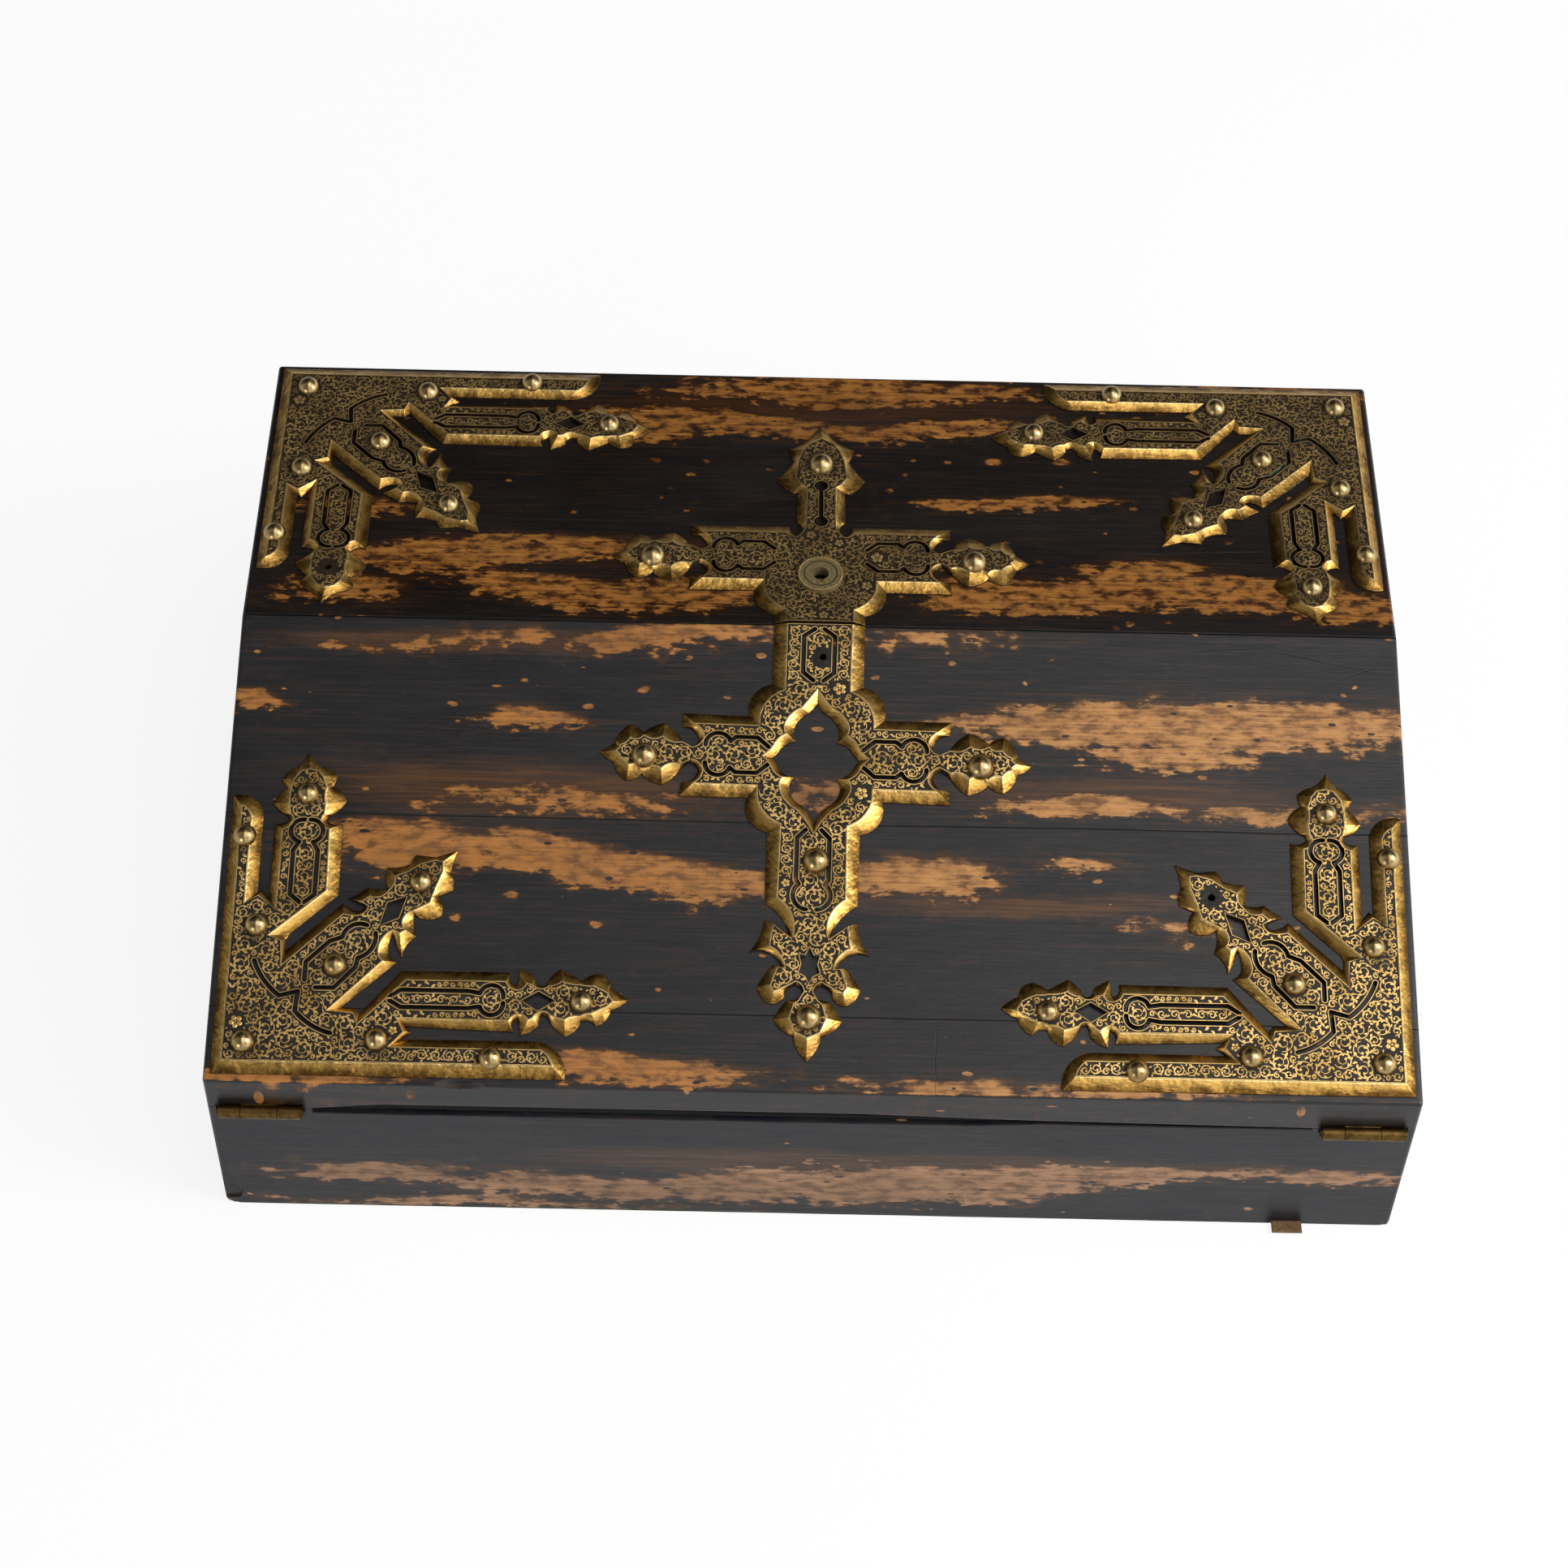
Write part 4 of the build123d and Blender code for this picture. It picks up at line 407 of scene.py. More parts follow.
def coromandel(face, seams=(), red_patches=()):
    """Near-black figured wood with tan streaks along its grain, and plain mahogany on the inside."""
    s = Shader("coromandel_" + face)
    along, across, start = LAYOUT[face]
    p = s.object_mm
    u = s.dot(p, along)
    v = s.math("ADD", s.dot(p, across), start)
    depth = s.dot(p, tuple(1 - abs(a) - min(1, abs(b)) for a, b in zip(along, across)))
    flat = s.joined(u, v, s.product(depth, 0.5))
    tan = TONES.get(face, TONES["front"])[0]

    wave = s.noise(s.scaled(flat, (0.012, 0.035, 0.03)), 1.0, 2.0, 0.5)
    ragged = s.noise(s.scaled(flat, (0.07, 0.16, 0.1)), 1.0, 6.0, 0.66)
    mottle = s.noise(s.scaled(flat, (0.16, 0.34, 0.2), (7, 3, 1)), 1.0, 5.0, 0.62)
    fibre = s.noise(s.scaled(flat, (0.035, 1.1, 0.6)), 1.0, 5.0, 0.7)
    grain = s.noise(s.scaled(flat, (0.12, 4.5, 3.0)), 1.0, 3.0, 0.6)
    bent, level = streak_level(s, face, u, v, wave, ragged, mottle, fibre)
    level = spotted(s, face, level, flat, u, v, depth, ragged, mottle)
    colour = figure_colour(s, face, level, bent, u, wave, mottle, fibre, grain)

    arris = s.node("Bevel", {"Radius": 0.6 * MM}, samples=4).outputs[0]
    plain = s.node("NewGeometry").outputs["Normal"]
    edge = s.smooth(s.dot(arris, plain), 0.985, 0.86)
    edge = s.product(edge, s.smooth(ragged, 0.4, 0.62, 0.12, 0.8))
    if face in JOINED:
        near, far = JOINED[face]
        edge = s.product(edge, s.smooth(v, near, far))
    colour = s.mix(edge, colour, times(tan, 0.45))

    scuff = s.noise(s.scaled(flat, (0.02, 0.05, 0.05)), 1.0, 4.0, 0.6)
    rough = s.line(grain, 0.08, s.smooth(scuff, 0.3, 0.75, 0.22, 0.38))
    dust = s.smooth(s.cells(p, 0.16), 0.034, 0.02)
    dust = s.product(dust, s.smooth(mottle, 0.52, 0.6, 0.0, 0.6))
    colour = s.mix(dust, colour, DUST)
    height = s.line(grain, 0.35, s.product(fibre, 0.4))
    for seam in seams:
        place = s.math("ABSOLUTE", s.math("ADD", v, s.line(wave, 1.6, -0.8 - seam)))
        cut = s.smooth(place, 0.3, 0.12)
        colour = s.mix(cut, colour, SEAM_BLACK)
        rough = s.math("MAXIMUM", rough, cut)
    for x, y, tilt, length in CRACKS.get(face, ()):
        shaken = s.joined(s.shaken(u, mottle, 1.6), s.shaken(v, ragged, 1.6))
        cut = s.smooth(s.away(shaken, x, y, length / 2, CRACK_WIDTH / 2, tilt), 1.3, 0.7)
        colour = s.mix(s.product(cut, 0.8), colour, CRACK_BLACK)
        height = s.math("SUBTRACT", height, s.product(cut, 0.4))
    for x, y, length, width in red_patches:
        near = s.line(ragged, 0.5, s.away(flat, x, y, length, width))
        colour = s.mix(s.smooth(near, 1.25, 1.0), colour, s.mix(fibre, *RED_WOOD))
    if face == "side":
        inside = s.smooth(s.math("ABSOLUTE", s.parts(p)[0]), HALF - 4.0, HALF - 5.0)
    else:
        inside = s.smooth(s.dot(s.object_normal, INWARD[face]), 0.5, 0.6)
    colour = s.mix(inside, colour, s.mix(s.smooth(fibre, 0.3, 0.7), *MAHOGANY))
    normal = s.bump(scuff, 0.8, 0.25, s.bump(height, 0.16, 0.7, arris))
    gloss = 0.3 if face == "front" else 0.4
    return s.finish(colour, rough, 0.0, normal, **{"Specular IOR Level": gloss})


def plain_wood(name, low, high, along=0):
    """Polished mahogany for the fittings inside."""
    s = Shader(name)
    stretch = tuple(0.03 if axis == along else 0.9 for axis in range(3))
    fibre = s.noise(s.scaled(s.object_mm, stretch), 1.0, 5.0, 0.65, 0.3)
    pores = s.noise(s.scaled(s.object_mm, times(stretch, 5)), 1.0, 2.0, 0.5)
    colour = s.mix(s.smooth(fibre, 0.3, 0.7), low, high)
    colour = s.mix(s.smooth(pores, 0.62, 0.75, 0.0, 0.6), colour, times(low, 0.3))
    normal = s.bump(pores, 0.08, 0.5)
    rough = s.smooth(fibre, 0.2, 0.8, 0.3, 0.42)
    return s.finish(colour, rough, 0.0, normal, **{"Coat Weight": 0.2, "Coat Roughness": 0.15})


# -------- metal

GOLD = (0.38, 0.205, 0.042)
GOLD_PALE = (0.58, 0.35, 0.095)
GOLD_BROWN = (0.085, 0.038, 0.009)
SOOT = (0.012, 0.010, 0.008)
# Darkening round the domes, on the ground and on the engraving.
DARK_ROUND_DOMES = (0.008, 0.006, 0.005)
# Whitish gold of the painted highlight along the top rim of the chamfers.
RIM_HIGHLIGHT_GOLD = (0.86, 0.64, 0.3)
VERDIGRIS_WALL = (0.2, 0.34, 0.27)
VERDIGRIS_PLATE = (0.10, 0.22, 0.17)
# Where green has gathered in the openings of the mounts: place in mm and reach.
VERDIGRIS = {
    "flap": (((0, -80, 82), 14.0),),
    "lid": (((155, 90, 111), 14.0),),
}
# Longer than a domed pin, and shorter than the gap between two of them, mm.
DOME_REACH = 14.0


def stud_places(node):
    """Middle of each dome of a node, in mm."""
    rest = np.array([v.co for v in NODES[node].data.vertices]) / MM
    middles = []
    while len(rest):
        near = np.linalg.norm(rest - rest[0], axis=1) < DOME_REACH
        middles.append(tuple((rest[near].min(axis=0) + rest[near].max(axis=0)) / 2))
        rest = rest[~near]
    return middles


def near_studs(s, face):
    """1 close round the domes of a face, falling to 0 about three radii out."""
    reach = None
    for place in STUDS[face]:
        away = s.vector("DISTANCE", s.object_mm, place, output="Value")
        reach = away if reach is None else s.math("MINIMUM", reach, away)
    return s.smooth(reach, 7.5, 3.6)


def mount_brass(face, ground_low, ground_high):
    """Gilt brass: rubbed golden chamfers with painted shade at the foot and highlight at the rim,
    round an engraved dark-ground face.
    """
    s = Shader("mount_brass_" + face)
    origin, _, up = FACES[face]
    p = s.object_mm
    facing = s.dot(s.object_normal, up)
    height = s.math("SUBTRACT", s.dot(p, up), origin.dot(up))
    level = s.smooth(facing, 0.965, 0.985)
    wall = s.smooth(facing, 0.45, 0.3)
    blotch = s.noise(p, 0.13, 3.0, 0.55)
    fine = s.noise(p, 0.9, 3.0, 0.55)
    grit = s.noise(p, 3.5, 3.0, 0.6)
    stroke = s.noise(s.scaled(p, (0.35, 0.35, 2.4)), 1.0, 3.0, 0.6)
    gold = s.mix(s.smooth(fine, 0.35, 0.7, 0.0, 0.5), GOLD, GOLD_PALE)
    worn = s.line(blotch, 0.6, s.product(stroke, 0.4))
    gold = s.mix(s.smooth(worn, 0.46, 0.58, 0.0, 0.85), gold, GOLD_BROWN)
    # Painted shade: the chamfers darken in patches towards their foot.
    foot = s.smooth(height, 1.3, 0.35)
    gold = s.mix(s.product(foot, s.smooth(fine, 0.3, 0.65, 0.95, 0.55)), gold, GOLD_BROWN)
    # Painted highlight: the chamfers pale towards their top, with a bright line along the rim.
    gold = s.mix(s.product(s.smooth(height, 0.9, 1.8), 0.8), gold, GOLD_PALE)
    gold = s.mix(s.product(s.smooth(height, 1.8, 1.92), 0.75), gold, RIM_HIGHLIGHT_GOLD)
    ground = s.mix(s.smooth(grit, 0.5, 0.72), ground_low, ground_high)
    # Darker round the domes.
    ground = s.mix(s.product(near_studs(s, face), 0.85), ground, DARK_ROUND_DOMES)
    colour = s.mix(level, gold, ground)
    colour = s.mix(wall, colour, s.mix(s.smooth(fine, 0.45, 0.7), SOOT, GOLD_BROWN))
    for place, reach in VERDIGRIS[face]:
        away = s.vector("DISTANCE", p, place, output="Value")
        green = s.product(s.smooth(away, reach, 0.5 * reach), s.smooth(fine, 0.4, 0.6))
        colour = s.mix(s.product(green, wall), colour, VERDIGRIS_WALL)
    dark = s.math("MAXIMUM", level, wall)
    rough = s.math("ADD", s.smooth(stroke, 0.25, 0.75, 0.24, 0.4), s.product(dark, 0.15))
    metal = s.line(dark, -0.5, 1.0)
    arris = s.node("Bevel", {"Radius": 0.28 * MM}, samples=4).outputs[0]
    bent = s.bump(stroke, 0.22, 0.5, arris)
    bent = s.bump(blotch, 1.2, 0.5, bent)
    return s.finish(colour, rough, metal, bent)


def scroll_gold(face, low, high, shade, metal):
    """Raised lines of the engraving, brightest where hands rub them."""
    s = Shader("scroll_gold_" + face)
    blotch = s.noise(s.object_mm, 0.1, 4.0, 0.6)
    fine = s.noise(s.object_mm, 2.2, 3.0, 0.6)
    colour = s.mix(s.smooth(blotch, 0.36, 0.62), low, high)
    colour = s.mix(s.smooth(fine, 0.55, 0.75, 0.0, 0.5), colour, shade)
    # Darker round the domes.
    colour = s.mix(s.product(near_studs(s, face), 0.75), colour, DARK_ROUND_DOMES)
    return s.finish(colour, s.smooth(fine, 0.2, 0.8, 0.28, 0.44), metal, s.bump(fine, 0.05, 0.5))


def plain_brass(name, colour, dull, low_rough, high_rough, pits=0.1):
    """Brass with patches of dullness."""
    s = Shader(name)
    blotch = s.noise(s.object_mm, 0.35, 4.0, 0.6)
    fine = s.noise(s.object_mm, 2.6, 4.0, 0.7)
    shade = s.mix(s.smooth(blotch, 0.4, 0.68, 0.0, 0.7), colour, dull)
    shade = s.mix(s.smooth(fine, 0.62, 0.78, 0.0, 0.5), shade, times(dull, 0.3))
    rough = s.line(blotch, 0.6, s.product(fine, 0.4))
    rough = s.smooth(rough, 0.3, 0.7, low_rough, high_rough)
    return s.finish(shade, rough, 1.0, s.bump(fine, pits, 0.4))


ESCUTCHEON_RADIUS = 7.2
GROOVE_RADIUS = 5.15


def escutcheon_brass():
    """Rubbed brass with verdigris near the keyhole."""
    s = Shader("escutcheon_brass")
    place = s.vector("SUBTRACT", s.scaled(s.object_mm, (1, 1, 0)), (KEYHOLE.x, KEYHOLE.y, 0))
    radius = s.vector("LENGTH", place, output="Value")
    fine = s.noise(s.object_mm, 1.3, 4.0, 0.6)
    shade = s.mix(s.smooth(fine, 0.35, 0.7), (0.2, 0.15, 0.066), (0.34, 0.26, 0.125))
    groove = s.math("ABSOLUTE", s.math("SUBTRACT", radius, GROOVE_RADIUS))
    shade = s.mix(s.smooth(groove, 0.3, 0.1), shade, (0.05, 0.035, 0.015))
    green = s.product(s.smooth(radius, 2.9, 2.1), s.smooth(fine, 0.42, 0.62))
    shade = s.mix(green, shade, VERDIGRIS_PLATE)
    metal = s.line(green, -0.6, 0.6)
    return s.finish(shade, s.smooth(fine, 0.2, 0.8, 0.28, 0.42), metal, s.bump(fine, 0.06, 0.4))


# -------- cloth, leather, glass


def fabric(name, low, high, weave, sheen=0.5, depth=0.1):
    """Cloth with a nap."""
    s = Shader(name)
    nap = s.noise(s.object_mm, weave, 4.0, 0.75)
    broad = s.noise(s.object_mm, 0.08, 3.0, 0.5)
    colour = s.mix(s.line(nap, 0.7, s.product(broad, 0.3)), low, high)
    constants = {"Sheen Weight": sheen, "Sheen Roughness": 0.4, "Specular IOR Level": 0.06}
    return s.finish(colour, 0.9, 0.0, s.bump(nap, depth, 0.9), **constants)


def leather(name, low, high, pore=1.2):
    """Leather with a pebbled grain."""
    s = Shader(name)
    pebble = s.cells(s.object_mm, pore, feature="SMOOTH_F1")
    broad = s.noise(s.object_mm, 0.1, 5.0, 0.7)
    colour = s.mix(s.smooth(broad, 0.2, 0.9), low, high)
    colour = s.mix(s.smooth(pebble, 0.35, 0.6, 0.0, 0.35), colour, times(low, 0.35))
    rough = s.smooth(broad, 0.3, 0.7, 0.5, 0.62)
    return s.finish(colour, rough, 0.0, s.bump(pebble, 0.15, 0.6))


def glass():
    """Clear pressed glass, a little green in its depth."""
    s = Shader("ink_glass")
    fine = s.noise(s.object_mm, 0.3, 2.0, 0.5)
    rough = s.smooth(fine, 0.2, 0.8, 0.02, 0.05)
    constants = {"Transmission Weight": 0.92, "IOR": 1.5}
    return s.finish((0.86, 0.93, 0.9), rough, 0.0, s.bump(fine, 0.1, 0.3), **constants)


def paint(material, *names):
    """Give CAD nodes or pieces a material."""
    for name in names:
        data = bpy.data.objects[name].data
        data.materials.clear()
        data.materials.append(material)


# -------- meshes


class Soup:
    """Vertices and faces of one piece, in mm."""

    def __init__(self):
        self.points = []
        self.faces = []

    def add(self, points, faces):
        """Add points with faces numbered from the first of them."""
        start = len(self.points)
        self.points += points
        self.faces += [tuple(start + i for i in face) for face in faces]

    def ribbon(self, line, widths, low, high, slant=0.06):
        """Raised line through plan points, with a flat top and sloping sides."""
        line = np.asarray(line, float)
        steps = np.gradient(line, axis=0)
        steps /= np.maximum(np.linalg.norm(steps, axis=1)[:, None], 1e-9)
        side = np.stack([-steps[:, 1], steps[:, 0]], axis=1)
        half = np.asarray(widths, float)[:, None] / 2
        inner = np.maximum(half - slant, half * 0.3)
        rows = []
        for (x, y), (a, b), h, i in zip(line, side, half[:, 0], inner[:, 0]):
            rows += [(x + a * h, y + b * h, low), (x + a * i, y + b * i, high)]
            rows += [(x - a * i, y - b * i, high), (x - a * h, y - b * h, low)]
        faces = []
        for k in range(0, len(rows) - 4, 4):
            faces += [(k + j, k + j + 4, k + j + 5, k + j + 1) for j in range(3)]
            faces.append((k + 3, k + 7, k + 4, k))
        last = len(rows) - 4
        faces += [(0, 1, 2, 3), (last + 3, last + 2, last + 1, last)]
        self.add(rows, faces)

    def pad(self, outline, low, high, shrink=0.82):
        """Raised leaf with a plan outline that turns left."""
        count = len(outline)
        cx = sum(x for x, _ in outline) / count
        cy = sum(y for _, y in outline) / count
        rows = [(x, y, low) for x, y in outline]
        rows += [(cx + (x - cx) * shrink, cy + (y - cy) * shrink, high) for x, y in outline]
        faces = [(i, (i + 1) % count, count + (i + 1) % count, count + i) for i in range(count)]
        faces += [tuple(range(count, 2 * count)), tuple(reversed(range(count)))]
        self.add(rows, faces)


def put(name, data):
    """Object in the scene, round a mesh, lamp or camera."""
    made = bpy.data.objects.new(name, data)
    bpy.context.scene.collection.objects.link(made)
    return made


def dress(mesh, material, body, replaced=None):
    """Piece from a mesh, riding on a body, in place of a CAD node where one is named."""
    mesh.materials.append(material)
    piece = put(mesh.name, mesh)
    if replaced:
        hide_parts(replaced)
    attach(piece, body)
    return piece


def make_mesh(name, points, faces):
    """Mesh from row-frame points in metres."""
    mesh = bpy.data.meshes.new(name)
    mesh.from_pydata([tuple(p) for p in points], [], faces)
    mesh.validate()
    mesh.update()
    return mesh


def on_plane(points, origin, along, up):
    """Row-frame points, in metres, from points across, along and above a plane, in mm."""
    origin, along, up = (np.array(v) for v in (origin, along, up))
    p = np.asarray(points, float)
    return (origin + p[:, :1] * (1, 0, 0) + p[:, 1:2] * along + p[:, 2:] * up) * MM


def ring(x, y, radius, count):
    """Plan points round a circle, turning left."""
    turn = np.linspace(0, 2 * pi, count + 1)[:-1]
    return [(x + radius * cos(a), y + radius * sin(a)) for a in turn]


# -------- engraving


def face_plan(node, face):
    """Triangles and boundary edges of the engraved face of a mount, in face coordinates."""
    mesh = NODES[node].data
    mesh.calc_loop_triangles()
    co = np.array([v.co for v in mesh.vertices], float) / MM
    origin, along, up = (np.array(v) for v in FACES[face])
    local = np.stack([co[:, 0], (co - origin) @ along, (co - origin) @ up], axis=1)
    tris = np.array([t.vertices for t in mesh.loop_triangles])
    top = tris[(local[tris][:, :, 2] > MOUNT_HEIGHT - 0.02).all(axis=1)]
    keys = {}
    name = [keys.setdefault(tuple(np.round(p, 3)), len(keys)) for p in local[:, :2]]
    place = np.array(list(keys), float)
    edges = set()
    corners = []
    for tri in top:
        a, b, c = (name[i] for i in tri)
        if len({a, b, c}) < 3:
            continue
        one, other = place[b] - place[a], place[c] - place[a]
        if one[0] * other[1] - one[1] * other[0] < 0:
            b, c = c, b
        corners.append((a, b, c))
        edges.update(((a, b), (b, c), (c, a)))
    border = {a: b for a, b in edges if (b, a) not in edges}
    loops = []
    while border:
        start, step = next(iter(border.items()))
        loop = [start]
        del border[start]
        while step != start and step in border:
            loop.append(step)
            step = border.pop(step)
        loops.append(place[loop])
    return place[np.array(corners)], loops


def room_map(tris, loops, step):
    """Grid points inside the face and their distance from its edge."""
    low = tris.min(axis=(0, 1)) - step
    high = tris.max(axis=(0, 1)) + step
    xs = np.arange(low[0], high[0], step)
    ys = np.arange(low[1], high[1], step)
    inside = np.zeros((len(xs), len(ys)), bool)
    for tri in tris:
        a, b, c = tri
        lo, hi = tri.min(axis=0), tri.max(axis=0)
        i0, i1 = np.searchsorted(xs, (lo[0], hi[0]))
        j0, j1 = np.searchsorted(ys, (lo[1], hi[1]))
        if i0 == i1 or j0 == j1:
            continue
        gx, gy = np.meshgrid(xs[i0:i1], ys[j0:j1], indexing="ij")
        hit = np.ones(gx.shape, bool)
        for p, q in ((a, b), (b, c), (c, a)):
            hit &= (q[0] - p[0]) * (gy - p[1]) - (q[1] - p[1]) * (gx - p[0]) >= -1e-9
        inside[i0:i1, j0:j1] |= hit
    cell = np.argwhere(inside)
    points = np.stack([xs[cell[:, 0]], ys[cell[:, 1]]], axis=1)
    starts = np.concatenate(loops)
    ends = np.concatenate([np.roll(loop, -1, axis=0) for loop in loops])
    room = np.full(len(points), 1e9)
    for k in range(0, len(points), 4000):
        block = points[k : k + 4000, None, :]
        span = ends - starts
        t = ((block - starts) * span).sum(axis=2) / np.maximum((span**2).sum(axis=1), 1e-12)
        near = starts + np.clip(t, 0, 1)[:, :, None] * span
        room[k : k + 4000] = np.sqrt(((block - near) ** 2).sum(axis=2).min(axis=1))
    return points, room


def pack_circles(points, room, largest, smallest, gap):
    """Circles that fill the room, largest first."""
    room = room.copy()
    circles = []
    while True:
        # A faint wave settles ties, so that equal circles do not fall into rows.
        wave = 0.02 * np.sin(points[:, 0] * 3.1 + points[:, 1] * 1.7)
        i = int(np.argmax(np.minimum(room, largest) + wave))
        radius = min(room[i], largest)
        if radius < smallest:
            return circles
        centre = points[i]
        circles.append((centre[0], centre[1], radius))
        away = np.hypot(points[:, 0] - centre[0], points[:, 1] - centre[1])
        room = np.minimum(room, away - radius - gap)


# Lines of the engraving: their width, and their foot and top above the board, mm.
LINE = 0.36
LOW, HIGH = 1.97, 2.13
GRID = 0.3
BORDER_ROOM = 0.48
BORDER_OFFSET, BORDER_WIDTH = 0.2, 0.3
PIN_ROOM = 3.55
PIN_HOLE_LENGTH, PIN_HOLE_RADIUS = 9, 1.4
LARGEST_CIRCLE, SMALLEST_CIRCLE = 3.0, 0.36
OVERLAP = 0.02


def volute(soup, x, y, radius, entry, hand, rng):
    """Scroll that winds in from its edge and ends in a bud, with leaves on both its sides."""
    turns = 1.5 if radius > 1.7 else 1.15
    inset = 0.7 if radius > 1.7 else 0.66
    t = np.linspace(0, 1, int(14 + 6 * radius))
    angle = entry + hand * 2 * pi * turns * t
    reach = radius * (0.97 - inset * t)
    line = np.stack([x + reach * np.cos(angle), y + reach * np.sin(angle)], axis=1)
    width = LINE * (0.75 + 0.6 * np.sin(pi * np.minimum(1, t * 1.25)))
    soup.ribbon(line, width, LOW, uneven(x, y))
    soup.pad(ring(*line[-1], 0.24 + 0.09 * radius, 8), LOW, HIGH)
    if radius < 1.1:
        return
    # Leaves on the inner side first, then on the outer one: how many for each mm of radius, and
    # where along the scroll they start and how far they go.
    for side, many, first, extent in ((-1, 1.6, 0.05, 0.6), (1, 1.7, 0.2, 0.42)):
        count = int(round(many * radius))
        for k in range(count):
            share = first + k / count * extent
            a = entry + hand * 2 * pi * turns * share
            r = radius * (0.97 - inset * share) + side * 0.3 * LINE
            if side < 0:
                length = min(1.3, radius * rng.uniform(0.4, 0.5))
                heading = a + pi - hand * rng.uniform(0.85, 1.2)
                width = 0.62 * length
            else:
                length = min(1.6, (radius - r + 0.1) / 0.6)
                heading = a + hand * rng.uniform(0.7, 1.0)
                width = 0.58 * length
            leaf(soup, x + r * cos(a), y + r * sin(a), heading, length, width, hand)


def uneven(x, y):
    """Top of a raised line, a little different from place to place."""
    return HIGH - 0.015 - 0.012 * sin(37.0 * x + 53.0 * y)


def leaf(soup, x, y, heading, length, width, hand):
    """Curved drop-shaped leaf that starts at a point."""
    outline = [(0.0, 0.08), (0.35, 0.36), (0.65, 0.5), (0.9, 0.3), (1.0, 0.0)]
    sides = outline + [(t, -w) for t, w in reversed(outline[:-1])]
    placed = []
    for t, w in sides:
        along = length * t
        across = width * w + hand * 0.28 * length * t * t
        place_x = x + along * cos(heading) - across * sin(heading)
        placed.append((place_x, y + along * sin(heading) + across * cos(heading)))
    soup.pad(list(reversed(placed)), LOW, uneven(x, y) - 0.03, 0.8)


def flower(soup, x, y, radius, turn):
    """Five-petalled flower."""
    petal = radius * 0.36
    for k in range(5):
        a = turn + 2 * pi * k / 5
        px, py = x + radius * 0.56 * cos(a), y + radius * 0.56 * sin(a)
        soup.pad(ring(px, py, petal, 7), LOW, HIGH, 0.7)
    soup.pad(ring(x, y, petal * 0.5, 6), LOW, HIGH)


def border_line(soup, loop, offset, width):
    """Raised line that runs inside an edge of the face."""
    closed = [loop[0]]
    for p in loop[1:]:
        if np.hypot(*(p - closed[-1])) > 0.12:
            closed.append(p)
    loop = np.array(closed)
    if len(loop) < 4:
        return
    ahead = np.roll(loop, -1, axis=0) - loop
    ahead /= np.maximum(np.linalg.norm(ahead, axis=1)[:, None], 1e-9)
    behind = np.roll(ahead, 1, axis=0)
    both = ahead + behind
    mitre = np.stack([-both[:, 1], both[:, 0]], axis=1)
    scale = 2 / np.maximum((mitre**2).sum(axis=1), 0.9)
    line = loop + mitre * scale[:, None] * offset
    line = np.concatenate([line, line[:1]])
    soup.ribbon(line, np.full(len(line), width), LOW, HIGH, 0.05)


def engrave(node, face, seed):
    """Border lines, scrolls, leaves and flowers over the face of a mount, in face coordinates."""
    tris, loops = face_plan(node, face)
    soup = Soup()
    rng = random.Random(seed)
    points, room = room_map(tris, loops, GRID)
    room = room - BORDER_ROOM
    for loop in loops:
        length = np.linalg.norm(np.roll(loop, -1, axis=0) - loop, axis=1).sum()
        middle = loop.mean(axis=0)
        spread = np.hypot(*(loop - middle).T)
        if length < PIN_HOLE_LENGTH and spread.max() < PIN_HOLE_RADIUS:
            away = np.hypot(points[:, 0] - middle[0], points[:, 1] - middle[1])
            room = np.minimum(room, away - PIN_ROOM)
        else:
            border_line(soup, loop, BORDER_OFFSET, BORDER_WIDTH)
    circles = pack_circles(points, room, LARGEST_CIRCLE, SMALLEST_CIRCLE, -OVERLAP)
    hands = []
    for i, (x, y, radius) in enumerate(circles):
        spaces = [hypot(px - x, py - y) - pr - radius for px, py, pr in circles[:i]]
        if not spaces or min(spaces) > 1.2:
            entry, hand = rng.uniform(0, 2 * pi), rng.choice((-1, 1))
        else:
            parent = spaces.index(min(spaces))
            px, py, _ = circles[parent]
            entry = atan2(py - y, px - x)
            hand = -hands[parent]
        hands.append(hand)
        if radius > 1.9 and rng.random() < 0.08:
            flower(soup, x, y, radius * 0.78, rng.uniform(0, 6))
        elif radius > 0.85:
            volute(soup, x, y, radius, entry, hand, rng)
        else:
            heading = entry + pi + hand * 0.5
            x += 1.05 * radius * cos(entry)
            y += 1.05 * radius * sin(entry)
            leaf(soup, x, y, heading, 2.1 * radius, 1.3 * radius, hand)
    return soup


def place_engraving(soup, name, face, flips=(1, 1), tip=(0, 0)):
    """Engraving as a piece on a face, mirrored by two signs and then moved to its tip."""
    plan = np.array(soup.points) * (*flips, 1) + (*tip, 0)
    mirrored = flips[0] != flips[1]
    faces = [tuple(reversed(f)) for f in soup.faces] if mirrored else soup.faces
    mesh = make_mesh(name, on_plane(plan, *FACES[face]), faces)
    dress(mesh, MATERIALS[face + "_scroll"], face)


# -------- build

